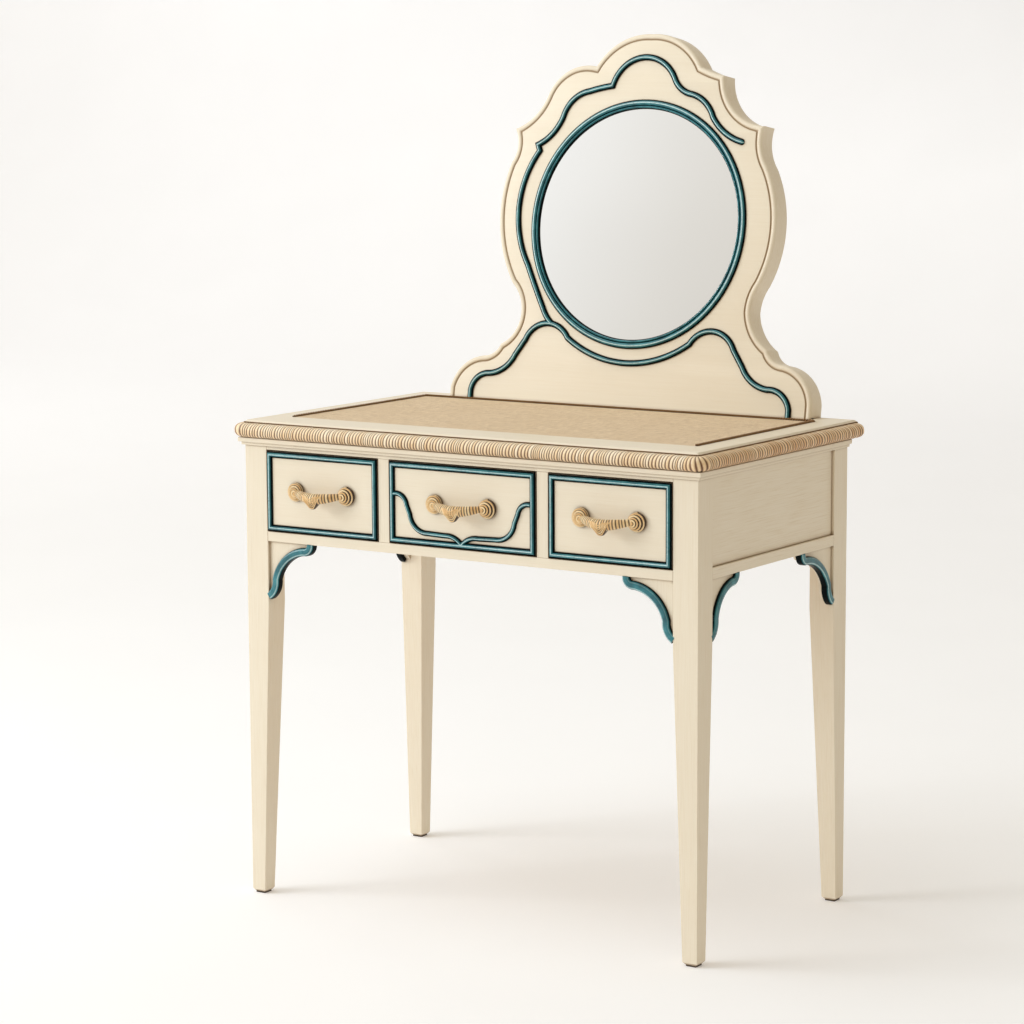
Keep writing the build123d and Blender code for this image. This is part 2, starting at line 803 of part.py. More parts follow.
for drawer, centre_x, opening_width in drawers:
    front_half = opening_width / 2 - drawer_gap
    box_half = front_half - drawer_clearance
    inner_half = box_half - drawer_wall
    front_low = opening_bottom + drawer_gap
    front_high = opening_top - drawer_gap
    wall_z = (box_bottom, box_bottom + drawer_box_height)
    floor_z = (
        box_bottom + drawer_bottom_rise,
        box_bottom + drawer_bottom_rise + drawer_bottom_thickness,
    )

    with BuildPart() as drawer_bottom:
        block(
            (centre_x - inner_half - groove_depth, centre_x + inner_half + groove_depth),
            (drawer_front_back - groove_depth, drawer_back - drawer_wall + groove_depth),
            floor_z,
        )
    save(drawer_bottom, f"drawer_{drawer}_bottom")

    with BuildPart() as handle_screws:
        for side in (-1, 1):
            rosette_x = centre_x + side * rosette_spacing / 2
            seat = Vector(rosette_x, drawer_front_back, handle_height)
            make_screw(seat, Vector(0, 1, 0), handle_screw_length)
    save(handle_screws, f"drawer_{drawer}_handle_screws")

    with BuildPart() as drawer_face:
        block(
            (centre_x - front_half, centre_x + front_half),
            (front, drawer_front_back),
            (front_low, front_high),
        )
        add(drawer_bottom.part, mode=Mode.SUBTRACT)
        add(handle_screws.part, mode=Mode.SUBTRACT)
    save(drawer_face, f"drawer_{drawer}_front")

    with BuildPart() as drawer_sides:
        for side in (-1, 1):
            block(
                sorted((centre_x + side * inner_half, centre_x + side * box_half)),
                (drawer_front_back, drawer_back),
                wall_z,
            )
        add(drawer_bottom.part, mode=Mode.SUBTRACT)
    save(drawer_sides, f"drawer_{drawer}_sides")

    with BuildPart() as drawer_back_wall:
        block(
            (centre_x - inner_half, centre_x + inner_half),
            (drawer_back - drawer_wall, drawer_back),
            wall_z,
        )
        add(drawer_bottom.part, mode=Mode.SUBTRACT)
    save(drawer_back_wall, f"drawer_{drawer}_back")

    with BuildPart() as frame_bead:
        block(
            (centre_x - front_half, centre_x + front_half),
            (front - bead_height, front),
            (front_low, front_high),
        )
        block(
            (centre_x - front_half + frame_bead_width, centre_x + front_half - frame_bead_width),
            (front - bead_height, front),
            (front_low + frame_bead_width, front_high - frame_bead_width),
            Mode.SUBTRACT,
        )
        fillet(frame_bead.faces().sort_by(Axis.Y)[0].edges(), frame_bead_rounding)
    save(frame_bead, f"drawer_{drawer}_frame_bead")

    with BuildPart() as rosettes:
        for side in (-1, 1):
            make_rosette(centre_x + side * rosette_spacing / 2)
        add(handle_screws.part, mode=Mode.SUBTRACT)
    save(rosettes, f"drawer_{drawer}_rosettes")

    with BuildPart() as grip:
        make_grip(centre_x)
        add(rosettes.part, mode=Mode.SUBTRACT)
    save(grip, f"drawer_{drawer}_grip")

    if drawer == "middle":
        with BuildPart() as middle_bead:
            with BuildSketch(Plane.XZ.offset(-front)) as curve:
                for side in (-1, 1):
                    with BuildLine():
                        draw_middle_bead_half(side)
                    trace(line_width=middle_bead_width)
            extrude(amount=bead_height)
            add(frame_bead.part, mode=Mode.SUBTRACT)
        save(middle_bead, "drawer_middle_curved_bead")
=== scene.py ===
from math import atan2, cos, pi, radians, sin, sqrt, tan

import bpy
import numpy as np
from mathutils import Matrix, Vector
from mathutils.geometry import tessellate_polygon


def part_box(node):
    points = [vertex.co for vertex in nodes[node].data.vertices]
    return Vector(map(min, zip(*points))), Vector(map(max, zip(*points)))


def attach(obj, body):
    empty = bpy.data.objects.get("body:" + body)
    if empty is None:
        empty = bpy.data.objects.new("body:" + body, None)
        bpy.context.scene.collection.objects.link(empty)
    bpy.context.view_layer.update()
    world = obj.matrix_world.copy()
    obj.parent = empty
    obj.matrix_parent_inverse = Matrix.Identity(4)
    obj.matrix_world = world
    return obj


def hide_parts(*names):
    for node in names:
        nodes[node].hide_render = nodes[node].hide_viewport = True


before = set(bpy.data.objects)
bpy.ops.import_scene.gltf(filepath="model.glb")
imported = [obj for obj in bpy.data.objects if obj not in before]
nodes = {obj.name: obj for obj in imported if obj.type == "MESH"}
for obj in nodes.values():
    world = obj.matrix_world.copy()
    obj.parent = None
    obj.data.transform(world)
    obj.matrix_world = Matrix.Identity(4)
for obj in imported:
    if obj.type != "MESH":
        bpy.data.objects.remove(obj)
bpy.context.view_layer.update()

# The looks of a vanity table with a mirror, in metres, around its CAD frame.
# X runs to the right, Y to the back and Z up from the floor.
MM = 0.001
drawers = ("left", "middle", "right")
rng = np.random.default_rng(7)

# -------- places taken from the frame
leg_low, leg_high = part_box("leg_front_right")
front = leg_low.y
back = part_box("leg_back_right")[1].y
right = leg_high.x
leg_inner = leg_low.x
apron_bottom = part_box("front_bottom_rail")[0].z
deck_low, deck_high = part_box("deck_board")
rope_low, rope_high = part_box("rope_edge")
deck_top = deck_high.z
mirror_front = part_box("mirror_board")[0].y

# -------- sizes that the pieces share
mirror_lean = radians(8.5)
mirror_thickness = 36 * MM
mirror_shift = 6 * MM
glass_centre = 295 * MM
glass_radius = 186 * MM
glass_pocket_radius = 192 * MM
bead_width = 10 * MM
bead_height = 5 * MM


# ======== materials
class Nodes:
    """Adds nodes to a material or a world, and joins them by name."""

    def __init__(self, owner, shader="Principled BSDF"):
        owner.use_nodes = True
        self.owner = owner
        self.tree = owner.node_tree
        self.shader = self.tree.nodes[shader]

    def plug(self, socket, value):
        """Joins a node's output to a socket, or sets a plain value on it."""
        if isinstance(value, bpy.types.NodeSocket):
            self.tree.links.new(value, socket)
        else:
            socket.default_value = value

    def add(self, kind, inputs=None, **settings):
        node = self.tree.nodes.new(kind)
        for key, value in settings.items():
            setattr(node, key, value)
        for key, value in (inputs or {}).items():
            self.plug(node.inputs[key], value)
        return node

    def set(self, **inputs):
        for key, value in inputs.items():
            self.plug(self.shader.inputs[key.replace("_", " ")], value)

    def place(self, scale=(1, 1, 1)):
        """Object coordinates, in metres, stretched by a scale for each axis."""
        coordinates = self.add("ShaderNodeTexCoord").outputs["Object"]
        return self.add("ShaderNodeMapping", {"Vector": coordinates, "Scale": scale}).outputs["Vector"]

    def noise(self, vector, scale=1.0, detail=3.0, roughness=0.55, distortion=0.0):
        names = ("Vector", "Scale", "Detail", "Roughness", "Distortion")
        values = (vector, scale, detail, roughness, distortion)
        return self.add("ShaderNodeTexNoise", dict(zip(names, values))).outputs["Fac"]

    def ramp(self, factor, *stops):
        node = self.add("ShaderNodeValToRGB", {"Fac": factor})
        elements = node.color_ramp.elements
        while len(elements) < len(stops):
            elements.new(0.5)
        for element, (position, colour) in zip(elements, stops):
            element.position = position
            element.color = (*colour, 1)
        return node.outputs["Color"]

    def levels(self, factor, low, high, to_low=0.0, to_high=1.0):
        names = ("Value", "From Min", "From Max", "To Min", "To Max")
        values = (factor, low, high, to_low, to_high)
        return self.add("ShaderNodeMapRange", dict(zip(names, values))).outputs["Result"]

    def mix(self, factor, first, second):
        """A mix of two colours, which this node takes in at 6 and 7 and gives out at 2."""
        node = self.add("ShaderNodeMix", data_type="RGBA")
        for index, value in ((0, factor), (6, first), (7, second)):
            self.plug(node.inputs[index], (*value, 1) if isinstance(value, tuple) else value)
        return node.outputs[2]

    def math(self, operation, first, second=0.0):
        return self.add("ShaderNodeMath", {0: first, 1: second}, operation=operation).outputs[0]

    def times(self, first, second):
        return self.math("MULTIPLY", first, second)

    def plus(self, first, second):
        return self.math("ADD", first, second)

    def attribute(self, name):
        return self.add("ShaderNodeAttribute", attribute_name=name).outputs["Fac"]

    def bump(self, height, strength, distance):
        inputs = {"Height": height, "Strength": strength, "Distance": distance}
        return self.add("ShaderNodeBump", inputs).outputs["Normal"]

    def surface(self, colour, texture, roughness, bump, distance):
        """A colour, with roughness from low to high and a bump that both follow one texture."""
        self.set(
            Base_Color=colour,
            Roughness=self.levels(texture, 0.3, 0.7, *roughness),
            Normal=self.bump(texture, bump, distance),
        )


def new_material(name):
    return Nodes(bpy.data.materials.new(name))


def drawn_out(axis, across, along):
    """A scale for each axis that draws a texture out along one of them."""
    return [along if name == axis else across for name in "XYZ"]


def srgb(red, green, blue):
    """A colour as it is seen on screen, 0 to 255, turned to the shader's linear values."""
    return tuple(
        c / 255 / 12.92 if c / 255 <= 0.04045 else ((c / 255 + 0.055) / 1.055) ** 2.4
        for c in (red, green, blue)
    )


def painted_wood(name, grain_axis, streaks=1.0):
    """Cream paint brushed along one axis, over a fine wood grain."""
    n = new_material(name)
    stretch = drawn_out(grain_axis, 620.0, 14.0)
    brushed = n.noise(n.place(stretch), detail=4.0, roughness=0.65)
    lines = n.levels(brushed, 0.0, 1.0, 0.5 - 0.5 * streaks, 0.5 + 0.5 * streaks)
    broad = n.noise(n.place([scale / 6 for scale in stretch]), detail=2.0)
    patches = n.noise(n.place(), 9.0, detail=2.0)
    base = n.ramp(
        lines,
        (0.28, srgb(225, 210, 184)),
        (0.44, srgb(234, 222, 200)),
        (0.72, srgb(238, 228, 209)),
    )
    tinted = n.mix(n.levels(broad, 0.3, 0.7, 0.0, 0.16), base, srgb(226, 210, 184))
    shaded = n.mix(n.levels(patches, 0.35, 0.65, 0.0, 0.10), tinted, srgb(222, 204, 176))
    # painted shade: a brown darkening in the inside corners, where ambient occlusion finds them close
    openness = n.add("ShaderNodeAmbientOcclusion", {"Distance": 7 * MM}, samples=8).outputs["AO"]
    corner_shaded = n.mix(n.levels(openness, 0.86, 0.40, 0.0, 0.80), shaded, srgb(146, 114, 76))
    n.surface(corner_shaded, lines, (0.56, 0.42), 0.25, 0.2 * MM)
    n.set(Coat_Weight=0.12, Coat_Roughness=0.35)
    return n.owner


def groove_shaded_paint(name, grain_axis):
    """The cream paint of the mirror board, with painted shade: a brown darkening in its groove."""
    n = Nodes(painted_wood(name, grain_axis, streaks=0.45))
    painted = n.shader.inputs["Base Color"].links[0].from_socket
    groove_shade = n.levels(n.attribute("shade"), 0.05, 0.9, 0.0, 0.85)
    n.set(Base_Color=n.mix(groove_shade, painted, srgb(150, 120, 80)))
    return n.owner


def teal_gloss():
    """Glossy teal paint, with painted shade near black in the quirks beside a bead and a painted
    highlight along its crest.
    """
    n = new_material("teal_gloss")
    mottle = n.noise(n.place(), 60.0, detail=4.0)
    fine = n.noise(n.place(), 420.0, detail=2.0)
    base = n.ramp(
        mottle,
        (0.30, srgb(22, 84, 94)),
        (0.55, srgb(38, 112, 122)),
        (0.75, srgb(62, 136, 144)),
    )
    shade = n.attribute("shade")
    # painted highlight: a light line along the crest, where the shade attribute is below zero
    crest = n.levels(shade, -0.15, -0.75, 0.0, 1.0)
    painted_highlight = n.times(crest, n.levels(fine, 0.25, 0.6, 0.6, 1.0))
    highlighted = n.mix(painted_highlight, base, srgb(214, 244, 244))
    # painted shade: near black in the quirks and on the flanks
    quirk = n.levels(shade, 0.15, 0.80, 0.0, 0.99)
    n.surface(n.mix(quirk, highlighted, srgb(2, 8, 10)), fine, (0.26, 0.36), 0.12, 0.15 * MM)
    n.set(
        Specular_IOR_Level=n.levels(shade, 0.0, 0.6, 0.35, 0.05),
        Coat_Weight=n.levels(shade, 0.0, 0.6, 0.35, 0.0),
        Coat_Roughness=0.12,
    )
    return n.owner


def wrapped_fibre(name, light, middle, dark, gap_shade, gloss):
    """Straw or cane: every strand has its own tone, with fibres along it and painted shade in the gaps
    between.
    """
    n = new_material(name)
    tone = n.attribute("tone")
    # each strand reads its own part of the noise, drawn out along the strand
    on_strand = {"X": n.attribute("across"), "Y": n.attribute("along"), "Z": n.times(tone, 40.0)}
    vector = n.add("ShaderNodeCombineXYZ", on_strand).outputs["Vector"]
    stretched = n.add("ShaderNodeMapping", {"Vector": vector, "Scale": (9.0, 1.2, 1.0)}).outputs["Vector"]
    fibres = n.noise(stretched, detail=4.0, roughness=0.6)
    mixed = n.plus(n.times(fibres, 0.6), n.times(tone, 0.4))
    base = n.ramp(mixed, (0.25, dark), (0.48, middle), (0.68, light))
    crevice_shade = n.levels(n.attribute("shade"), 0.26, 0.86, 0.0, 0.98)
    n.surface(n.mix(crevice_shade, base, gap_shade), fibres, (gloss + 0.16, gloss), 0.5, 0.3 * MM)
    n.set(Sheen_Weight=0.15, Sheen_Roughness=0.5)
    return n.owner


def woven_inlay():
    """A fine plain weave of tan fibre, slightly uneven."""
    n = new_material("woven_inlay")
    thread = 1.5 * MM
    place = n.place()
    split_axes = n.add("ShaderNodeSeparateXYZ", {"Vector": place})
    waves = [
        n.math("SINE", n.times(split_axes.outputs[axis], pi / thread))
        for axis in ("X", "Y")
    ]
    weave = n.times(*waves)
    grain_x = n.noise(n.place((60, 900, 1)))
    grain_y = n.noise(n.place((900, 60, 1)))
    over = n.levels(weave, -0.3, 0.3)
    under = n.math("SUBTRACT", 1.0, over)
    grain = n.plus(n.times(grain_x, over), n.times(grain_y, under))
    speckle = n.noise(place, 700.0, detail=2.0, roughness=0.7)
    patches = n.noise(place, 14.0)
    tone = n.plus(n.times(grain, 0.55), n.times(speckle, 0.45))
    base = n.ramp(
        tone,
        (0.40, srgb(164, 128, 84)),
        (0.50, srgb(217, 187, 143)),
        (0.59, srgb(248, 226, 190)),
    )
    relief = n.plus(n.math("ABSOLUTE", weave), n.times(speckle, 0.8))
    n.set(
        Base_Color=n.mix(n.levels(patches, 0.35, 0.65, 0.0, 0.22), base, srgb(202, 168, 122)),
        Roughness=0.74,
        Normal=n.bump(relief, 0.5, 0.3 * MM),
        Sheen_Weight=0.2,
        Sheen_Roughness=0.6,
    )
    return n.owner


def twisted_fibre():
    """The dark twisted cord around the inlay."""
    n = new_material("twisted_fibre")
    fibres = n.noise(n.place(), 900.0)
    base = n.ramp(
        fibres,
        (0.30, srgb(96, 64, 30)),
        (0.55, srgb(150, 110, 64)),
        (0.75, srgb(196, 156, 106)),
    )
    # painted shade darkens the inner parts of the strands, where they meet at the core
    crevice_shade = n.levels(n.attribute("shade"), 0.2, 0.9, 0.0, 0.95)
    n.surface(n.mix(crevice_shade, base, srgb(44, 24, 8)), fibres, (0.85, 0.7), 0.4, 0.2 * MM)
    return n.owner


def mirror_silver():
    """Silvered glass with a faint unevenness in its silver."""
    n = new_material("mirror_silver")
    cloud = n.noise(n.place(), 3.0, detail=1.0)
    n.set(
        Base_Color=n.ramp(cloud, (0.3, (0.86, 0.86, 0.85)), (0.7, (0.90, 0.90, 0.89))),
        Metallic=1.0,
        Roughness=n.levels(cloud, 0.3, 0.7, 0.02, 0.04),
    )
    return n.owner


def brushed_steel():
    n = new_material("brushed_steel")
    lines = n.noise(n.place((900, 900, 25)))
    base = n.ramp(lines, (0.3, srgb(150, 148, 142)), (0.7, srgb(196, 194, 188)))
    n.surface(base, lines, (0.42, 0.28), 0.2, 0.1 * MM)
    n.set(Metallic=1.0)
    return n.owner


def bare_wood(name, grain_axis):
    """Oiled pale wood with long growth rings along one axis."""
    light = srgb(222, 190, 142)
    dark = srgb(178, 136, 88)
    n = new_material(name)
    rings = n.noise(n.place(drawn_out(grain_axis, 26.0, 1.6)), detail=2.0, distortion=1.4)
    bands = n.math("FRACT", n.times(rings, 7.0))
    pores = n.noise(n.place(drawn_out(grain_axis, 900.0, 30.0)))
    base = n.ramp(bands, (0.0, dark), (0.35, light), (1.0, light))
    grained = n.mix(n.levels(pores, 0.35, 0.65, 0.30, 0.0), base, dark)
    n.surface(grained, pores, (0.66, 0.5), 0.3, 0.2 * MM)
    return n.owner


def hardboard():
    """Brown pressed board behind the glass."""
    n = new_material("hardboard")
    flakes = n.noise(n.place(), 480.0, detail=5.0, roughness=0.7)
    base = n.ramp(flakes, (0.3, srgb(92, 66, 42)), (0.7, srgb(140, 106, 72)))
    n.surface(base, flakes, (0.85, 0.7), 0.4, 0.2 * MM)
    return n.owner


def glide_plastic():
    """Dark moulded glides, scuffed a little lighter."""
    n = new_material("glide_plastic")
    scuffs = n.noise(n.place(), 350.0, detail=4.0)
    base = n.ramp(scuffs, (0.35, srgb(46, 36, 28)), (0.75, srgb(88, 74, 60)))
    n.surface(base, scuffs, (0.65, 0.5), 0.25, 0.1 * MM)
    return n.owner


cream = {
    "X": painted_wood("cream_paint_x", "X", streaks=0.55),
    "Y": painted_wood("cream_paint_y", "Y", streaks=1.25),
    "Z": painted_wood("cream_paint_z", "Z", streaks=0.8),
}
cream_board = groove_shaded_paint("cream_mirror_board", "X")
cream_side_of_board = painted_wood("cream_board_edge", "Z")
teal = teal_gloss()
straw = wrapped_fibre(
    "straw_wrap",
    light=srgb(254, 240, 214),
    middle=srgb(244, 214, 170),
    dark=srgb(216, 166, 108),
    gap_shade=srgb(98, 54, 18),
    gloss=0.42,
)
cane = wrapped_fibre(
    "cane_wrap",
    light=srgb(254, 232, 186),
    middle=srgb(230, 188, 128),
    dark=srgb(194, 146, 90),
    gap_shade=srgb(52, 24, 6),
    gloss=0.3,
)
weave = woven_inlay()
cord_fibre = twisted_fibre()
silver = mirror_silver()
steel = brushed_steel()
oiled_wood = {axis: bare_wood(f"oiled_wood_{axis.lower()}", axis) for axis in "XYZ"}
backing = hardboard()
glide = glide_plastic()


# ======== mesh tools
def weld(points, faces, attributes):
    """Joins points that lie on one another and drops the faces that this leaves without area."""
    weld_distance = 0.005 * MM
    kept = {}
    new_index = []
    sources = []
    for i, point in enumerate(points):
        key = tuple(round(c / weld_distance) for c in point)
        if key not in kept:
            kept[key] = len(sources)
            sources.append(i)
        new_index.append(kept[key])
    new_faces = []
    for face in faces:
        corners = [new_index[i] for i in face]
        corners = [c for i, c in enumerate(corners) if c != corners[i - 1]]
        if len(set(corners)) == len(corners) >= 3:
            new_faces.append(tuple(corners))
    new_points = [tuple(points[i]) for i in sources]
    new_attributes = {key: np.ravel(values)[sources] for key, values in attributes.items()}
    return new_points, new_faces, new_attributes


def add_object(name, data):
    thing = bpy.data.objects.new(name, data)
    bpy.context.scene.collection.objects.link(thing)
    return thing


def make_piece(name, shells, material, body, attributes=None, sharp_angle=40):
    """One object from a list of shells, each (points, faces), that rides on a body."""
    points = []
    faces = []
    for shell_points, shell_faces in shells:
        offset = len(points)
        points += [tuple(p) for p in shell_points]
        faces += [tuple(i + offset for i in f) for f in shell_faces]
    points, faces, attributes = weld(points, faces, attributes or {})
    mesh = bpy.data.meshes.new(name)
    mesh.from_pydata(points, [], faces)
    for key, values in attributes.items():
        layer = mesh.attributes.new(key, "FLOAT", "POINT")
        layer.data.foreach_set("value", np.asarray(values, np.float32).ravel())
    mesh.polygons.foreach_set("use_smooth", [True] * len(mesh.polygons))
    mesh.set_sharp_from_angle(angle=radians(sharp_angle))
    mesh.materials.append(material)
    mesh.update()
    piece = add_object(name, mesh)
    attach(piece, body)
    return piece


class Winding:
    """Shells of wound strands, with what their fibre material needs to know at every point."""

    def __init__(self):
        self.shells = []
        self.points = []
        self.values = {"shade": [], "tone": [], "across": [], "along": []}

    def add(self, point, shade, tone, across, along):
        self.points.append(point)
        for key, value in zip(self.values, (shade, tone, across, along)):
            self.values[key].append(value)

    def close_shell(self, count, around, reverse=False):
        """Turns the points added since the last shell into a tube of sections."""
        faces = tube_faces(count, around, False)
        if reverse:
            faces = [tuple(reversed(face)) for face in faces]
        self.shells.append((self.points, faces))
        self.points = []

    def make(self, name, material, body, sharp_angle):
        return make_piece(name, self.shells, material, body, self.values, sharp_angle)


def tube_faces(count, around, closed):
    """Quads between sections of equal size, with a flat cap at each end of an open tube."""
    faces = []
    last = count if closed else count - 1
    for i in range(last):
        a = i * around
        b = ((i + 1) % count) * around
        for j in range(around):
            k = (j + 1) % around
            faces.append((a + j, a + k, b + k, b + j))
    if not closed:
        faces.append(tuple(range(around - 1, -1, -1)))
        faces.append(tuple((count - 1) * around + j for j in range(around)))
    return faces


def arc_points(start, via, end, step):
    """Points of the arc through three points of a plane, without its start."""
    (ax, ay), (bx, by), (cx, cy) = start, via, end
    d = 2 * (ax * (by - cy) + bx * (cy - ay) + cx * (ay - by))
    a2, b2, c2 = ax * ax + ay * ay, bx * bx + by * by, cx * cx + cy * cy
    ox = (a2 * (by - cy) + b2 * (cy - ay) + c2 * (ay - by)) / d
    oy = (a2 * (cx - bx) + b2 * (ax - cx) + c2 * (bx - ax)) / d
    radius = sqrt((ax - ox) ** 2 + (ay - oy) ** 2)
    first = atan2(ay - oy, ax - ox)
    middle = atan2(by - oy, bx - ox)
    last = atan2(cy - oy, cx - ox)
    turn = (last - first) % (2 * pi)
    if (middle - first) % (2 * pi) > turn:
        turn -= 2 * pi
    count = max(2, int(abs(turn) * radius / step) + 1)
    angles = [first + turn * (i + 1) / count for i in range(count)]
    return [(ox + radius * cos(a), oy + radius * sin(a)) for a in angles]


def arc_chain(step, start, *stretches):
    """Lines and arcs end to end, sampled. A stretch is (end,) for a line or (via, end) for an arc."""
    points = [start]
    for stretch in stretches:
        here = points[-1]
        end = stretch[-1]
        if len(stretch) == 1:
            run = end[0] - here[0]
            climb = end[1] - here[1]
            count = max(1, int(sqrt(run**2 + climb**2) / step) + 1)
            for i in range(1, count + 1):
                points.append((here[0] + run * (i / count), here[1] + climb * (i / count)))
        else:
            points += arc_points(here, stretch[0], end, step)
    return np.array(points)


def mitre_normals(path, closed=False, start_from=None):
    """Left-hand normals along a flat path, longer at corners so that an offset keeps its width."""
    before = np.roll(path, 1, axis=0)
    after = np.roll(path, -1, axis=0)
    if not closed:
        before[0] = start_from if start_from is not None else 2 * path[0] - path[1]
        after[-1] = 2 * path[-1] - path[-2]
    arriving = unit(path - before)
    leaving = unit(after - path)
    first = np.stack([-arriving[:, 1], arriving[:, 0]], 1)
    second = np.stack([-leaving[:, 1], leaving[:, 0]], 1)
    total = first + second
    return total * (2 / np.sum(total * total, axis=1))[:, None]


def full_turn(steps):
    """The angles that divide a full turn into equal steps."""
    return [2 * pi * i / steps for i in range(steps)]


def arc_angles(start, turn, steps):
    """Equally spaced angles from a start through a turn, with both ends."""
    return [start + turn * i / steps for i in range(steps + 1)]


def unit(vectors):
    """A vector, or every row of vectors, at length 1."""
    return vectors / np.linalg.norm(vectors, axis=-1, keepdims=True)


class FlatFrame:
    """A plane in space: an origin, its two directions and its outward normal."""

    def __init__(self, origin, x_direction, y_direction, outward):
        self.origin = np.array(origin, float)
        self.x = np.array(x_direction, float)
        self.y = np.array(y_direction, float)
        self.outward = np.array(outward, float)

    def at(self, flat, height=0.0):
        """Points of the plane lifted by a height, as rows of x, y, z."""
        flat = np.asarray(flat, float)
        lifted = np.multiply.outer(height, self.outward)
        return self.origin + flat[..., :1] * self.x + flat[..., 1:2] * self.y + lifted


mirror_face = FlatFrame(
    (mirror_shift, mirror_front, deck_top),
    (1, 0, 0),
    (0, sin(mirror_lean), cos(mirror_lean)),
    (0, -cos(mirror_lean), sin(mirror_lean)),
)
table_face = FlatFrame((0, front, 0), (1, 0, 0), (0, 0, 1), (0, -1, 0))


# ======== beads
def half_round(middle, half_width, base, rise):
    """Points over a half round, from left to right. The crest gets a painted highlight, the flanks get
    painted shade.
    """
    points = []
    for angle in arc_angles(pi, -pi, steps=14):
        painted_highlight = max(0.0, 1 - abs(cos(angle) + 0.12) / 0.30)
        flank_shade = max(0.0, 0.9 * (abs(cos(angle)) - 0.62) / 0.38)
        points.append((middle + half_width * cos(angle), base + rise * sin(angle), flank_shade - painted_highlight))
    return points


def bead_profile(width, height):
    """A half round between two quirks darkened with painted shade: (across, height, shade) from edge to
    edge.
    """
    quirk = 0.17 * width
    floor = 0.12 * height
    edge = [
        (-width / 2, 0.0, 1.0),
        (-width / 2, 2.2 * floor, 1.0),
        (-width / 2 + 0.35 * quirk, 2.6 * floor, 1.0),
        (-width / 2 + 0.8 * quirk, floor, 1.0),
    ]
    crest = half_round(0.0, width / 2 - quirk, floor, height - floor)
    return edge + crest + [(-a, h, s) for a, h, s in reversed(edge)]


def ring_profile(width, height, lip):
    """Two half rounds with a groove between, and a lip down onto the glass at the inner side. The edges
    and the lip are in full painted shade.
    """
    quirk = 0.08 * width
    floor = 0.12 * height
    edge = [
        (-width / 2, 0.0, 1.0),
        (-width / 2, 2.2 * floor, 1.0),
        (-width / 2 + 0.6 * quirk, floor, 1.0),
    ]
    outer = half_round(-0.14 * width, 0.28 * width, floor, height - floor)
    inner = half_round(0.29 * width, 0.13 * width, floor, 0.72 * height)
    # the inner half round gets no painted highlight and at least a little painted shade
    inner = [(a, h, max(s, 0.15)) for a, h, s in inner]
    inner_edge = [
        (width / 2 - 0.5 * quirk, floor, 1.0),
        (width / 2, floor, 1.0),
        (width / 2, -lip, 1.0),
    ]
    return edge + outer + inner + inner_edge


def sweep(plane, stations, profile, closed=False):
    """The shell of a profile carried along stations, each (centre, sideways, size), and its shade."""
    centre, sideways, size = (np.array([station[k] for station in stations]) for k in range(3))
    across = size[:, None] * profile[None, :, 0]
    flat = centre[:, None, :] + across[:, :, None] * sideways[:, None, :]
    heights = size[:, None] * profile[None, :, 1]
    points = plane.at(flat, heights).reshape(-1, 3)
    shade = np.repeat(profile[None, :, 2], len(stations), axis=0)
    return (points, tube_faces(len(stations), len(profile), closed)), shade.ravel()


def rounded_nose(path, normal, width):
    """Stations that carry a bead past the end of its path, shrinking to a nose."""
    steps = 6
    outward = unit(path[-1] - path[-2])
    stations = []
    for k in range(1, steps + 1):
        share = sin(pi / 2 * k / steps)
        size = max(0.06, sqrt(1 - share * share))
        stations.append((path[-1] + outward * share * width * 0.45, normal, size))
    return stations


def sweep_bead(name, plane, path, node, width=bead_width, body="table", closed=False,
               rounded_end=False, start_from=None, profile=None):
    """A bead along a flat path. A rounded end shrinks to a nose; the others are cut on the mitre."""
    profile = np.array(profile or bead_profile(width, bead_height))
    normals = mitre_normals(path, closed, start_from)
    stations = list(zip(path, normals, [1.0] * len(path)))
    if rounded_end:
        stations += rounded_nose(path, normals[-1], width)
    shell, shade = sweep(plane, stations, profile, closed)
    piece = make_piece(name, [shell], teal, body, {"shade": shade}, sharp_angle=50)
    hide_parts(node)


path_step = 3 * MM


def millimetres(*points):
    """Points given in millimetres, in metres."""
    return [tuple(c * MM for c in p) for p in points]


def chain(start, *stretches):
    return arc_chain(path_step, millimetres(start)[0], *[millimetres(*s) for s in stretches])


upper_bead_path = chain(
    (-200, 421),
    ((-172, 441), (-155, 468)),
    ((-137, 496), (-108, 509)),
    ((-88, 514), (-65, 518)),
    ((-8, 564), (50, 531)),
    ((62, 515), (84, 505)),
    ((112, 490), (126, 469)),
    ((149, 445), (182, 430)),
)
left_bead_path = chain(
    (-200, 421),
    ((-196, 411),),
    ((-228, 325), (-203, 224)),
    ((-184, 186), (-166, 152)),
    ((-158, 139), (-148, 129)),
)
lower_bead_path = chain(
    (-297, 0),
    ((-297, 12),),
    ((-286, 33), (-262, 42)),
    ((-234, 52), (-214, 75)),
    ((-196, 101),),
    ((-153, 129), (-115, 107)),
    ((0, 71), (115, 107)),
    ((153, 129), (196, 101)),
    ((214, 75),),
    ((234, 52), (262, 42)),
    ((290, 33), (302, 12)),
    ((302, 0),),
)


def make_mirror_beads():
    """The upper and the left bead meet on a mitre, the lower one ends on the deck."""
    sweep_bead(
        "bead_upper_moulding", mirror_face, upper_bead_path, "bead_upper",
        rounded_end=True, start_from=left_bead_path[1],
    )
    sweep_bead(
        "bead_left_moulding", mirror_face, left_bead_path, "bead_left", start_from=upper_bead_path[1]
    )
    sweep_bead("bead_lower_moulding", mirror_face, lower_bead_path, "bead_lower")


def round_the_glass(radius, sides):
    """Points on a circle about the middle of the glass."""
    return np.array([(radius * cos(a), glass_centre + radius * sin(a)) for a in full_turn(sides)])


def make_mirror_ring():
    """The ring bead around the glass, with a lip that reaches down onto it."""
    width = 15 * MM
    lip = 1.0 * MM
    path = round_the_glass(glass_radius + width / 2, 180)
    profile = ring_profile(width, bead_height, lip)
    sweep_bead("ring_moulding", mirror_face, path, "mirror_ring", width, closed=True, profile=profile)


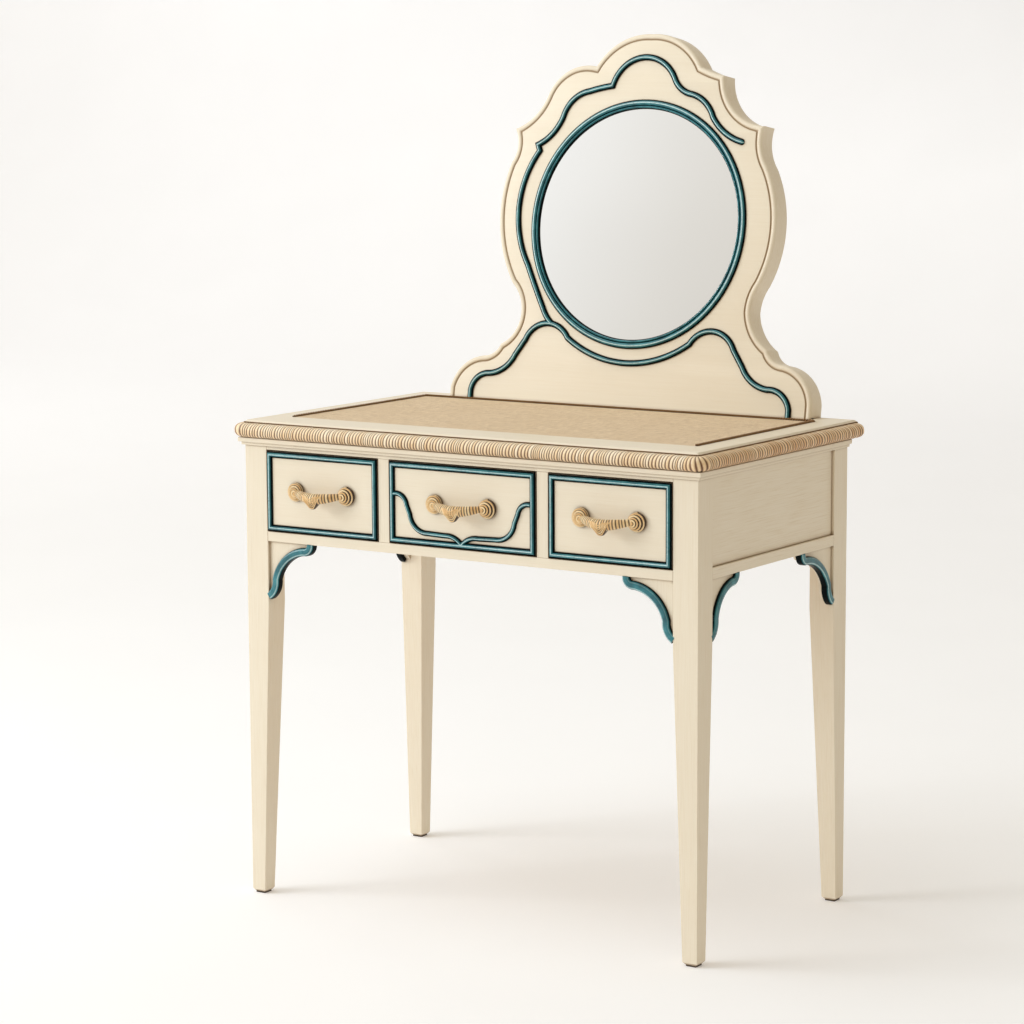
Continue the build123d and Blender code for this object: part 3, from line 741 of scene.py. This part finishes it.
def make_drawer_beads():
    """A frame bead round every drawer front, and a curved bead across the middle one."""
    for drawer in drawers:
        node = f"drawer_{drawer}_frame_bead"
        low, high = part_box(node)
        inset = bead_width / 2
        path = np.array([
            (low.x + inset, low.z + inset),
            (low.x + inset, high.z - inset),
            (high.x - inset, high.z - inset),
            (high.x - inset, low.z + inset),
        ])
        sweep_bead(f"{node}_moulding", table_face, path, node, body=f"drawer_{drawer}", closed=True)
    half = chain(
        (0, 594),
        ((12, 603), (30, 606)),
        ((62, 607),),
        ((84, 614), (95, 634)),
        ((101, 648),),
        ((109, 661), (124, 664)),
    )
    other_half = half[::-1] * np.array([-1, 1])
    path = np.concatenate([other_half, half[1:]])
    node = "drawer_middle_curved_bead"
    sweep_bead("drawer_middle_curved_moulding", table_face, path, node, 8 * MM, "drawer_middle")


# ======== scrolls under the apron
def scroll_path(reach):
    """An S from under the rail to the leg, with its reach along the rail given in millimetres."""
    return chain(
        (-reach + 7, 0),
        ((-reach + 10, -9), (-reach + 20, -12.5)),
        ((-0.37 * reach, -28), (-13, -60)),
        ((-9, -78), (0, -87)),
    )


def scroll_profile():
    """Rounded on its outer face: (across, height, shade), where the outer face is at height 0. The side
    walls carry painted shade and the rounded corners a painted highlight.
    """
    width = 13 * MM
    depth = 12 * MM
    corner = 4.5 * MM
    profile = [(width / 2, -depth, 1.0), (width / 2, -corner - 2 * MM, 0.95)]
    corners = ((width / 2 - corner, 0), (-width / 2 + corner, pi / 2))
    for centre, start in corners:
        for angle in arc_angles(start, pi / 2, steps=6):
            side = abs(cos(angle))
            painted_highlight = max(0.0, 1 - abs(side - 0.45) / 0.3) * (0.75 if start else 0.35)
            shade = max(0.0, (side - 0.70) / 0.30) * 0.95 - painted_highlight
            profile.append((centre + corner * cos(angle), corner * sin(angle) - corner, shade))
    profile += [(-width / 2, -corner - 2 * MM, 0.95), (-width / 2, -depth, 1.0)]
    return np.array(profile)


def make_scroll(corner, toward_leg, outward, reach):
    """The shell and shade of one scroll whose outer face stands 1 mm proud of the frame."""
    plane = FlatFrame(np.array(corner) + np.array(outward) * MM, toward_leg, (0, 0, 1), outward)
    path = scroll_path(reach)
    stations = list(zip(path, mitre_normals(path), [1.0] * len(path)))
    return sweep(plane, stations, scroll_profile())


def make_scrolls():
    front_inner = front + (leg_high.y - leg_low.y)
    back_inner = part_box("leg_back_right")[0].y
    places = {"scrolls_front": [], "scrolls_side": []}
    for side in (-1, 1):
        places["scrolls_front"] += [
            ((side * leg_inner, front, apron_bottom), (side, 0, 0), (0, -1, 0), 88),
        ]
        places["scrolls_side"] += [
            ((side * right, front_inner, apron_bottom), (0, -1, 0), (side, 0, 0), 82),
            ((side * right, back_inner, apron_bottom), (0, 1, 0), (side, 0, 0), 105),
        ]
    for node, spots in places.items():
        shells = []
        shades = []
        for spot in spots:
            shell, shade = make_scroll(*spot)
            shells.append(shell)
            shades.append(shade)
        shade = {"shade": np.concatenate(shades)}
        piece = make_piece(f"{node}_carved", shells, teal, "table", shade)
        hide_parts(node)


# ======== strands
def strand_edges(length, pitch, spread, start=0.0):
    """Uneven strand widths that fill a length: the places where one strand ends and the next starts."""
    count = int(length / pitch)
    widths = rng.uniform(1 - spread, 1 + spread, count)
    edges = np.concatenate([[0], np.cumsum(widths)])
    return start + edges * (length / edges[-1])


def strand_columns(edges):
    """Columns of a wrapped surface: place along it, strand height, shade, tone, place across strands."""
    strand_samples = 7
    places = []
    for i in range(len(edges) - 1):
        width = edges[i + 1] - edges[i]
        tone = rng.uniform(0.38, 0.80)
        height = rng.uniform(0.7, 1.0)
        for j in range(strand_samples):
            share = (j + 0.5) / strand_samples
            offset = 2 * share - 1
            dome = sqrt(max(0.0, 1 - offset**2))
            # painted shade: each strand darkens toward its edges, into the gaps beside it
            shade = 1.35 * (1 - dome) ** 0.6
            places.append((edges[i] + width * share, height * dome, shade, tone, i + share))
    return np.array(places)


rope_depth = rope_high.x - deck_high.x
rope_corner = 6 * MM


def rope_route():
    """The rope's inner path, from the back left corner round the front to the back right corner."""
    # an arc is (centre, start angle, turn, radius), a line is (start, direction, length, outward angle)
    x = deck_high.x
    y = deck_low.y
    end_radius = 5 * MM
    back_end = rope_high.y - rope_depth * 0.9
    side_length = back_end - (y + rope_corner)
    front_length = 2 * (x - rope_corner)
    return [
        ("arc", (-x + end_radius, back_end), pi / 2, pi / 2, end_radius),
        ("line", (-x, back_end), (0, -1), side_length, pi),
        ("arc", (-x + rope_corner, y + rope_corner), pi, pi / 2, rope_corner),
        ("line", (-x + rope_corner, y), (1, 0), front_length, 1.5 * pi),
        ("arc", (x - rope_corner, y + rope_corner), 1.5 * pi, pi / 2, rope_corner),
        ("line", (x, y + rope_corner), (0, 1), side_length, 0.0),
        ("arc", (x - end_radius, back_end), 0.0, pi / 2, end_radius),
    ]


def length_of(piece):
    """The length of a piece of the route, measured near the middle of the rope's depth."""
    middle = rope_depth * 0.55
    return abs(piece[3]) * (piece[4] + middle) if piece[0] == "arc" else piece[3]


def locate(route, along):
    """The inner point of the route at a distance along it, and the outward direction there."""
    for piece in route:
        length = length_of(piece)
        if along <= length or piece is route[-1]:
            break
        along -= length
    if piece[0] == "arc":
        angle = piece[2] + piece[3] * along / length
        out = np.array([cos(angle), sin(angle)])
        return np.array(piece[1]) + out * piece[4], out
    out = np.array([cos(piece[4]), sin(piece[4])])
    return np.array(piece[1]) + np.array(piece[2]) * along, out


def make_rope_edge():
    """Straw strands wound round the nosing of the deck, with a rounded end at each back corner."""
    route = rope_route()
    total = sum(length_of(piece) for piece in route)
    side_share = sum(length_of(piece) for piece in route[:3])
    # the strands are wound closer along the front than along the sides
    side_pitch = 6.6 * MM
    front_pitch = 5.0 * MM
    spread = 0.35
    left_edges = strand_edges(side_share, side_pitch, spread)
    front_edges = strand_edges(total - 2 * side_share, front_pitch, spread, side_share)
    right_edges = strand_edges(side_share, side_pitch, spread, total - side_share)
    columns = strand_columns(np.concatenate([left_edges, front_edges[1:], right_edges[1:]]))
    # the strands lean one way along the front and the other way along the sides, where their tones are
    # darkened as painted shade
    half_turn = 12 * MM
    left_turn = (side_share - half_turn, side_share + half_turn)
    right_turn = (total - side_share - half_turn, total - side_share + half_turn)
    turns = left_turn + right_turn
    slants = (-2.6 * MM, 2.2 * MM, 2.2 * MM, -2.6 * MM)
    side_shade_tones = (-0.36, 0.0, 0.0, -0.36)

    half_height = (rope_high.z - rope_low.z) / 2
    middle_z = (rope_high.z + rope_low.z) / 2
    around = 15
    strand_height = 1.3 * MM
    seat = 1.0 * MM
    winding = Winding()
    for place, dome, shade, tone, index in columns:
        slant = np.interp(place, turns, slants)
        tone += np.interp(place, turns, side_shade_tones)
        lift = strand_height * dome
        for j in range(around):
            angle = pi / 2 - pi * j / (around - 1)
            inner, out = locate(route, min(total, max(0.0, place + slant * sin(angle))))
            # the rope's section is a half round, a little fuller at its shoulders
            reach = (rope_depth - strand_height) * abs(cos(angle)) ** 0.75
            rise = (half_height - strand_height) * (abs(sin(angle)) ** 0.9) * (1 if angle > 0 else -1)
            x, y = inner + out * (reach + lift * cos(angle))
            point = (x, y, middle_z + rise + lift * sin(angle))
            # painted light: each strand is lighter toward the top of the rope and darker toward its
            # underside
            winding.add(point, shade - 0.12 * sin(angle), tone + 0.18 * sin(angle), index, j * 0.35)
        inner, out = locate(route, place)
        x, y = inner - out * seat
        for rise in (-0.5, 0.0, 0.5):
            winding.add((x, y, middle_z + rise * half_height), 1.0, tone, index, 0.0)
    winding.close_shell(len(columns), around + 3, reverse=True)
    piece = winding.make("rope_edge_strands", straw, "table", 60)
    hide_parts("rope_edge")


def twisted_strands(path, radius, twist):
    """Shells of two strands that twist about a path of points, with their shade."""
    strands = 2
    around = full_turn(6)
    steps = np.linalg.norm(np.diff(path, axis=0), axis=1)
    lengths = np.concatenate([[0], np.cumsum(steps)])
    samples = max(2, int(lengths[-1] / (twist / 10)))
    where = np.linspace(0, lengths[-1], samples)
    centre = np.stack([np.interp(where, lengths, path[:, k]) for k in range(3)], 1)
    tangent = unit(np.gradient(centre, axis=0))
    side = unit(np.cross(tangent, (0, 0, 1)))
    normal = np.cross(side, tangent)
    shells = []
    shade = []
    strand_radius = radius * 0.56
    for k in range(strands):
        angle = 2 * pi * (where / twist + k / strands)
        away = np.cos(angle)[:, None] * side + np.sin(angle)[:, None] * normal
        core = centre + (radius - strand_radius) * away
        points = [core + strand_radius * (cos(turn) * side + sin(turn) * normal) for turn in around]
        section = np.stack(points, 1)
        reach = np.linalg.norm(section - centre[:, None, :], axis=2) / radius
        shells.append((section.reshape(-1, 3), tube_faces(samples, len(around), False)))
        shade.append(np.clip(1.75 - 1.6 * reach, 0, 1).ravel())
    return shells, np.concatenate(shade)


def lay_cord(name, path, radius, twist):
    shells, shade = twisted_strands(np.array(path), radius, twist)
    return make_piece(name, shells, cord_fibre, "table", {"shade": shade}, 80)


def make_twisted_cords():
    """The cord round three sides of the inlay, and a thinner one where the rope meets the deck."""
    low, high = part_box("inlay_cord")
    radius = 3 * MM
    z = high.z - radius
    path = [
        (low.x + radius, low.y, z),
        (low.x + radius, high.y - radius, z),
        (high.x - radius, high.y - radius, z),
        (high.x - radius, low.y, z),
    ]
    piece = lay_cord("inlay_cord_twist", path, radius, 9 * MM)
    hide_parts("inlay_cord")

    thin_radius = 1.3 * MM
    seam_z = rope_high.z + 0.3 * MM
    seam_end = rope_high.y - 3 * MM
    x = deck_high.x
    centre_y = deck_low.y + rope_corner
    seam = [(-x, seam_end, seam_z)]
    for centre_x, start in ((-x + rope_corner, pi), (x - rope_corner, 1.5 * pi)):
        for angle in arc_angles(start, pi / 2, steps=6):
            seam.append((
                centre_x + rope_corner * cos(angle),
                centre_y + rope_corner * sin(angle),
                seam_z,
            ))
    seam.append((x, seam_end, seam_z))
    lay_cord("rope_seam_cord", seam, thin_radius, 7 * MM)


# ======== handles
# the grip is a bow that stands furthest out, and lowest, in its middle
grip_half_span = 43 * MM
grip_end_out = 8 * MM
grip_bow = 17 * MM
grip_sag = 5 * MM
grip_ridge = 0.75 * MM


def grip_radius(swell):
    """The radius under the strands, where swell is 0 at an end of the grip and 1 in its middle."""
    end_radius = 4.2 * MM
    middle_radius = 8.2 * MM
    return end_radius + (middle_radius - end_radius) * swell**0.8


def wind_grip(winding, centre_x, handle_z):
    """Cane wound round the bow, strand beside strand."""
    pitch = 3.9 * MM
    spread = 0.22
    columns = strand_columns(strand_edges(2 * grip_half_span, pitch, spread))
    around = 22
    for place, dome, shade, tone, index in columns:
        share = place / grip_half_span - 1
        swell = cos(share * pi / 2)
        slope = -sin(share * pi / 2) * pi / 2
        centre = np.array([
            centre_x + grip_half_span * share,
            front - grip_end_out - grip_bow * swell,
            handle_z - grip_sag * swell,
        ])
        tangent = unit(np.array([grip_half_span, -grip_bow * slope, -grip_sag * slope]))
        side = unit(np.cross(tangent, (0, 0, 1)))
        upward = np.cross(side, tangent)
        radius = grip_radius(swell) + grip_ridge * (dome - 0.6)
        for angle in full_turn(around):
            point = centre + radius * (cos(angle) * side + sin(angle) * upward)
            winding.add(point, shade, tone, index, sin(angle) * 1.5)
    winding.close_shell(len(columns), around)


def fold_strap(winding, k, centre_x, handle_z):
    """One flat strap of the drop, folded in a V over the front of the grip. Strap 0 is the outermost."""
    grip_z = handle_z - grip_sag
    plane = FlatFrame((centre_x, front - grip_end_out - grip_bow, 0), (1, 0, 0), (0, 0, 1), (0, -1, 0))
    half_length = (17.5 - 2.0 * k) * MM
    top = grip_z + (5.5 - 0.2 * k) * MM
    tip = grip_z - (14.5 - 2.9 * k) * MM
    bend = (half_length * 0.62, tip + (top - tip) * 0.52)
    fold = (half_length * 0.22, tip + 1.0 * MM)
    path = arc_chain(
        1.2 * MM,
        (-half_length, top),
        ((-bend[0], bend[1]), (-fold[0], fold[1])),
        ((0, tip), fold),
        (bend, (half_length, top)),
    )
    thickness = 1.75 * MM
    least_depth = 2.2 * MM
    section = 14
    tone = rng.uniform(0.3, 0.7)
    for i, (p, normal) in enumerate(zip(path, mitre_normals(path))):
        below = max(0.0, min(1.0, (grip_z - 2 * MM - p[1]) / (12 * MM)))
        swell = cos(min(1.0, abs(p[0]) / grip_half_span) * pi / 2)
        bow_back = grip_bow * (1 - swell)
        reach = grip_radius(swell) + grip_ridge + 0.35 * MM
        level = min(1.0, abs(p[1] - handle_z + grip_sag * swell) / reach)
        bulge = reach * sqrt(1 - level * level) if below == 0 else reach * (1 - 0.62 * below)
        for angle in full_turn(section):
            flat = p + normal * thickness * cos(angle)
            point = plane.at(flat, max(least_depth, bulge) * sin(angle) - bow_back)
            # painted shade along each strap's edges, where it meets the next strap
            shade = 1.8 * max(0.0, abs(cos(angle)) - 0.28) / 0.72
            winding.add(point, shade, tone, k + cos(angle) * 0.4, i * 0.15)
    winding.close_shell(len(path), section)


def make_grip(drawer):
    """A bow wound with cane, thickest in the middle, and a drop of folded straps over it."""
    node = f"drawer_{drawer}_grip"
    low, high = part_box(f"drawer_{drawer}_rosettes")
    centre_x = (low.x + high.x) / 2
    handle_z = (low.z + high.z) / 2
    straps = 6
    winding = Winding()
    wind_grip(winding, centre_x, handle_z)
    for k in range(straps):
        fold_strap(winding, k, centre_x, handle_z)
    piece = winding.make(f"{node}_wound", cane, f"drawer_{drawer}", 75)
    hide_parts(node)


rosette_radius = 15 * MM
rosette_cane = 1.75 * MM


def coil_cane(winding, side, lean, centre_x, handle_z, depth):
    """One long cane coiled into a low cone whose top leans toward the grip."""
    turns = 5
    samples = 34 * turns
    path = []
    for i in range(samples + 1):
        share = i / samples
        radius = (rosette_radius - rosette_cane) * min(1.0, 1.16 * (1 - share)) + 0.6 * MM * share
        angle = side * (2 * pi * turns * share) + pi / 2
        path.append((
            centre_x + lean * share**0.8 + radius * cos(angle),
            front - rosette_cane - (depth - 2 * rosette_cane) * sin(pi / 2 * share) ** 0.9,
            handle_z + radius * sin(angle) - 1.0 * MM * share,
        ))
    tangent = unit(np.gradient(np.array(path), axis=0))
    flat = unit(np.cross(tangent, (0, -1, 0)))
    normal = np.cross(flat, tangent)
    section = 10
    for i in range(len(path)):
        for angle in full_turn(section):
            point = path[i] + rosette_cane * (cos(angle) * flat[i] + sin(angle) * normal[i])
            # painted shade: each turn of cane is dark at its sides and light on top, so the turns stand
            # apart
            shade = max(0.0, 1.30 - 1.45 * max(0.0, sin(angle)))
            winding.add(point, shade, 0.5 + 0.25 * sin(i * 0.11), cos(angle) * 0.4, i * 0.08)
    winding.close_shell(len(path), section)


def fill_coil(winding, lean, centre_x, handle_z, depth):
    """A dome under the coil, all in painted shade, which closes the gaps between its turns."""
    rings = 8
    sides = 28
    for r in range(rings):
        share = r / (rings - 1)
        radius = (rosette_radius - rosette_cane) * cos(pi / 2 * share * 0.96)
        for angle in full_turn(sides):
            point = (
                centre_x + lean * share + radius * cos(angle),
                front - (depth - rosette_cane) * sin(pi / 2 * share) * 0.9,
                handle_z + radius * sin(angle),
            )
            winding.add(point, 1.0, 0.5, 0.0, 0.0)
    winding.close_shell(rings, sides)


def make_rosettes(drawer):
    node = f"drawer_{drawer}_rosettes"
    low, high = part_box(node)
    handle_z = (low.z + high.z) / 2
    depth = high.y - low.y
    winding = Winding()
    for side in (-1, 1):
        centre_x = low.x + rosette_radius if side < 0 else high.x - rosette_radius
        lean = -side * 5.0 * MM
        coil_cane(winding, side, lean, centre_x, handle_z, depth)
        fill_coil(winding, lean, centre_x, handle_z, depth)
    piece = winding.make(f"{node}_coiled", cane, f"drawer_{drawer}", 75)
    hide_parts(node)


# ======== mirror board
board_outline = chain(
    (341, 0),
    ((341, 22),),
    ((321, 64), (284, 82)),
    ((265, 90), (256, 104)),
    ((230, 130), (219, 162)),
    ((223, 186), (233, 206)),
    ((254, 300), (230, 392)),
    ((217, 424), (219, 456)),
    ((164, 479), (140, 535)),
    ((117, 541), (97, 549)),
    ((62, 586), (0, 602)),
    ((-69, 583), (-101, 550)),
    ((-163, 537), (-190, 503)),
    ((-213, 469), (-249, 447)),
    ((-242, 420), (-252, 392)),
    ((-267, 308), (-232, 192)),
    ((-211, 150), (-246, 92)),
    ((-256, 79), (-274, 71)),
    ((-318, 53), (-340, 16)),
    ((-340, 0),),
)


def distance_to_path(point, path):
    starts = path[:-1]
    spans = path[1:] - starts
    share = np.clip(np.sum((point - starts) * spans, 1) / np.sum(spans * spans, 1), 0, 1)
    nearest = starts + spans * share[:, None]
    return np.min(np.linalg.norm(point - nearest, axis=1))


def inset_outline(path, depth):
    """The outline moved inward, point for point. Points that would cross meet at the corner."""
    if depth == 0:
        return path.copy()
    normals = mitre_normals(path)
    moved = path + normals * depth
    nearly_all = 0.985
    valid = [distance_to_path(p, path) > depth * nearly_all for p in moved]
    valid[0] = valid[-1] = True
    result = moved.copy()
    i = 0
    while i < len(path):
        if valid[i]:
            i += 1
            continue
        start = i
        while not valid[i]:
            i += 1
        meeting = (moved[start - 1] + moved[i]) / 2
        result[start - 1:i + 1] = meeting
    return result


def cut_level(ring, behind):
    """Brings the two ends of a ring behind the face down to the level of the deck."""
    level = behind * tan(mirror_lean)
    ring[0, 1] = level
    ring[-1, 1] = level
    return ring


def fill_between(points, *loops):
    """Triangles that fill a flat loop of point numbers, less the loops inside it."""
    same_place = 0.001 * MM
    outlines = []
    numbers = []
    for loop in loops:
        unique = [loop[0]]
        for i in loop[1:]:
            if np.linalg.norm(points[i] - points[unique[-1]]) > same_place:
                unique.append(i)
        outlines.append([Vector(points[i]) for i in unique])
        numbers += unique
    return [tuple(numbers[i] for i in triangle) for triangle in tessellate_polygon(outlines)]


def make_mirror_board():
    """The shaped board: a rounded rim, a groove inside it darkened with painted shade, and a flat field
    round the glass.
    """
    rim = [
        # inward from the edge, behind the face, shade
        (0.0, mirror_thickness, 0.0),
        (0.0, 5.0 * MM, 0.0),
        (0.5 * MM, 2.6 * MM, 0.0),
        (1.8 * MM, 0.9 * MM, 0.0),
        (3.8 * MM, 0.0, 0.0),
        (6.2 * MM, 0.2 * MM, 0.05),
        (8.0 * MM, 1.0 * MM, 0.45),
        (9.0 * MM, 2.1 * MM, 1.0),
        (10.0 * MM, 2.1 * MM, 0.9),
        (10.8 * MM, 0.6 * MM, 0.25),
        (12.5 * MM, 0.3 * MM, 0.0),
    ]
    count = len(board_outline)
    rings = [
        mirror_face.at(cut_level(inset_outline(board_outline, inward), behind), -behind)
        for inward, behind, shade in rim
    ]
    shades = [shade for inward, behind, shade in rim for j in range(count)]

    pocket_sides = 120
    pocket_depth = 8 * MM
    pocket = round_the_glass(glass_pocket_radius, pocket_sides)
    rings.append(mirror_face.at(pocket, -rim[-1][1]))
    rings.append(mirror_face.at(pocket, -pocket_depth))
    shades += [0.0] * (2 * pocket_sides)
    points = np.concatenate(rings)

    faces = []
    for r in range(len(rim) - 1):
        for j in range(count - 1):
            a = r * count + j
            faces.append((a, a + 1, a + count + 1, a + count))
    outer_back = list(range(count))
    inner_front = [(len(rim) - 1) * count + j for j in range(count)]
    mouth = [len(rim) * count + i for i in range(pocket_sides)]
    floor = [i + pocket_sides for i in mouth]
    faces += fill_between(points, inner_front, mouth)
    faces += [tuple(reversed(f)) for f in fill_between(points, outer_back)]
    faces.append(tuple(floor))
    for i in range(pocket_sides):
        k = (i + 1) % pocket_sides
        faces.append((mouth[k], mouth[i], floor[i], floor[k]))
    right_ends = [r * count for r in range(len(rim))]
    left_ends = [r * count + count - 1 for r in range(len(rim))]
    faces.append(tuple(right_ends + left_ends[::-1]))

    shell = (points, faces)
    shade = {"shade": shades}
    piece = make_piece("mirror_board_shaped", [shell], cream_board, "table", shade, 38)
    piece.data.materials.append(cream_side_of_board)
    for polygon in piece.data.polygons:
        facing = abs(polygon.normal.dot(Vector(mirror_face.outward)))
        polygon.material_index = 1 if facing < 0.3 else 0
    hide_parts("mirror_board")


# ======== carried-over CAD nodes
def ease_edges(node, width):
    """Welds the node's triangles back into flat faces and rounds their sharp edges."""
    piece = nodes[node]
    weld = piece.modifiers.new("weld", "WELD")
    weld.merge_threshold = 1e-5
    flat = piece.modifiers.new("flat", "DECIMATE")
    flat.decimate_type = "DISSOLVE"
    flat.angle_limit = radians(1.0)
    bevel = piece.modifiers.new("bevel", "BEVEL")
    bevel.width = width
    bevel.segments = 3
    bevel.limit_method = "ANGLE"
    bevel.angle_limit = radians(35)
    piece.data.polygons.foreach_set("use_smooth", [False] * len(piece.data.polygons))


def dress(node, material, edge=None):
    piece = nodes[node]
    piece.data.materials.clear()
    piece.data.materials.append(material)
    if edge:
        ease_edges(node, edge)


def dress_cad_nodes():
    """Each node gets its material, with the grain along its length; most also get softly rounded edges.
    """
    for side in ("left", "right"):
        dress(f"leg_front_{side}", cream["Z"], 1.2 * MM)
        dress(f"leg_back_{side}", cream["Z"], 1.2 * MM)
        dress(f"side_rails_{side}", cream["Y"], 0.9 * MM)
        dress(f"side_panel_{side}", cream["Y"], 0.9 * MM)
    for node in ("front_top_rail", "front_bottom_rail", "back_panel", "deck_board", "cornice"):
        dress(node, cream["X"], 0.9 * MM)
    for node in ("drawer_dividers", "brackets_front", "brackets_side", "brackets_back"):
        dress(node, cream["Z"], 0.8 * MM)
    dress("drawer_partitions", oiled_wood["Y"])
    dress("drawer_runners", oiled_wood["Y"], 0.8 * MM)
    dress("drawer_stops", oiled_wood["X"], 0.6 * MM)
    dress("foot_glides", glide)
    dress("inlay_panel", weave)
    dress("mirror_glass", silver)
    dress("mirror_backing", backing)
    dress("mirror_straps", steel)
    dress("mirror_strap_screws", steel)
    for drawer in drawers:
        dress(f"drawer_{drawer}_front", cream["X"], 0.8 * MM)
        dress(f"drawer_{drawer}_sides", oiled_wood["Y"], 0.8 * MM)
        dress(f"drawer_{drawer}_back", oiled_wood["X"], 0.8 * MM)
        dress(f"drawer_{drawer}_bottom", oiled_wood["X"])
        dress(f"drawer_{drawer}_handle_screws", steel)


# ======== floor, light and camera
def make_floor():
    """A pale floor that curves up into a backdrop."""
    half_width = 11.0
    reach_front = 9.0
    reach_back = 6.4
    bend = 2.0
    height = 9.0
    profile = [(-reach_front, 0.0)]
    for angle in arc_angles(0, pi / 2, steps=12):
        profile.append((reach_back + bend * sin(angle), bend * (1 - cos(angle))))
    profile.append((reach_back + bend, height))
    points = []
    for y, z in profile:
        points += [(-half_width, y, z), (half_width, y, z)]
    faces = [(2 * i, 2 * i + 1, 2 * i + 3, 2 * i + 2) for i in range(len(profile) - 1)]
    mesh = bpy.data.meshes.new("studio_floor")
    mesh.from_pydata(points, [], faces)
    mesh.polygons.foreach_set("use_smooth", [True] * len(mesh.polygons))
    n = new_material("studio_floor")
    grain = n.noise(n.place(), 3.0, detail=2.0)
    pale = n.ramp(grain, (0.3, srgb(243, 243, 245)), (0.7, srgb(245, 245, 247)))
    # painted shade: the backdrop is darkened high up on its right
    axes = n.add("ShaderNodeSeparateXYZ", {"Vector": n.place()})
    raised = n.levels(axes.outputs["Z"], 0.8, 3.5)
    to_right = n.levels(axes.outputs["X"], -7.0, -3.0)
    n.set(
        Base_Color=n.mix(n.times(raised, to_right), pale, srgb(186, 183, 180)),
        Roughness=0.9,
        Emission_Color=(0.97, 0.985, 1.0, 1),
        Emission_Strength=0.15,
    )
    mesh.materials.append(n.owner)
    floor = add_object("studio_floor", mesh)


def area_light(name, place, target, size, power, colour):
    light = bpy.data.lights.new(name, "AREA")
    light.shape = "RECTANGLE"
    light.size, light.size_y = size
    light.energy = power
    light.color = colour
    lamp = add_object(name, light)
    lamp.location = place
    direction = Vector(target) - Vector(place)
    lamp.rotation_euler = direction.to_track_quat("-Z", "Y").to_euler()


def make_light():
    """A warm even room with a soft glow to the left of the camera, a key light and a backdrop light."""
    scene = bpy.context.scene
    scene.view_settings.view_transform = "Standard"
    scene.world = bpy.data.worlds.new("studio")
    n = Nodes(scene.world, "Background")
    glow = Vector((-0.78, -0.55, 0.30)).normalized()
    direction = n.add("ShaderNodeTexCoord").outputs["Generated"]
    toward = n.add("ShaderNodeVectorMath", {0: direction, 1: glow}, operation="DOT_PRODUCT")
    room = n.ramp(
        n.levels(toward.outputs["Value"], -1.0, 1.0),
        (0.0, (0.44, 0.372, 0.250)),
        (0.45, (0.50, 0.435, 0.325)),
        (0.80, (0.68, 0.65, 0.59)),
        (0.940, (0.60, 0.56, 0.50)),
        (0.956, (0.82, 0.79, 0.74)),
        (0.970, (1.05, 1.05, 1.04)),
        (1.0, (1.15, 1.15, 1.15)),
    )
    n.set(Color=room, Strength=1.0)
    middle = (0, 0, 0.7)
    area_light("key", (-3.8, -3.0, 2.2), middle, (2.2, 1.6), 93, (0.92, 0.97, 1.0))
    area_light("top", (-1.5, -1.0, 4.2), (0, 0, 0), (3.0, 3.0), 48, (0.90, 0.96, 1.0))
    area_light("backdrop", (-6.4, 2.8, 4.6), (-5.6, 7.4, 0.5), (3.5, 2.5), 86, (0.92, 0.96, 1.0))


def make_camera():
    """Stands to the right of the front, a little above the deck, with a long lens."""
    yaw = radians(32.744)
    pitch = radians(8.52)
    roll = radians(-0.206)
    distance = 5.0185
    aim_right = 8.2 * MM
    aim_height = 585.8 * MM
    back_way = np.array([sin(yaw) * cos(pitch), -cos(yaw) * cos(pitch), sin(pitch)])
    level = np.array([cos(yaw), sin(yaw), 0.0])
    above = np.cross(back_way, level)
    across = level * cos(roll) + above * sin(roll)
    upward = above * cos(roll) - level * sin(roll)
    target = level * aim_right + np.array([0, (front + back) / 2, aim_height])
    place = target + back_way * distance
    camera = bpy.data.cameras.new("camera")
    camera.sensor_width = 36.0
    camera.lens = 112.816
    camera.shift_x = -0.0373
    camera.shift_y = 0.01875
    camera.clip_end = 100
    eye = add_object("camera", camera)
    eye.matrix_world = Matrix([*np.stack([across, upward, back_way, place], 1), (0, 0, 0, 1)])
    bpy.context.scene.camera = eye


# ======== build it all
make_camera()
make_light()
make_floor()
dress_cad_nodes()
make_mirror_board()
make_mirror_ring()
make_mirror_beads()
make_drawer_beads()
make_scrolls()
make_rope_edge()
make_twisted_cords()
for drawer_name in drawers:
    make_grip(drawer_name)
    make_rosettes(drawer_name)
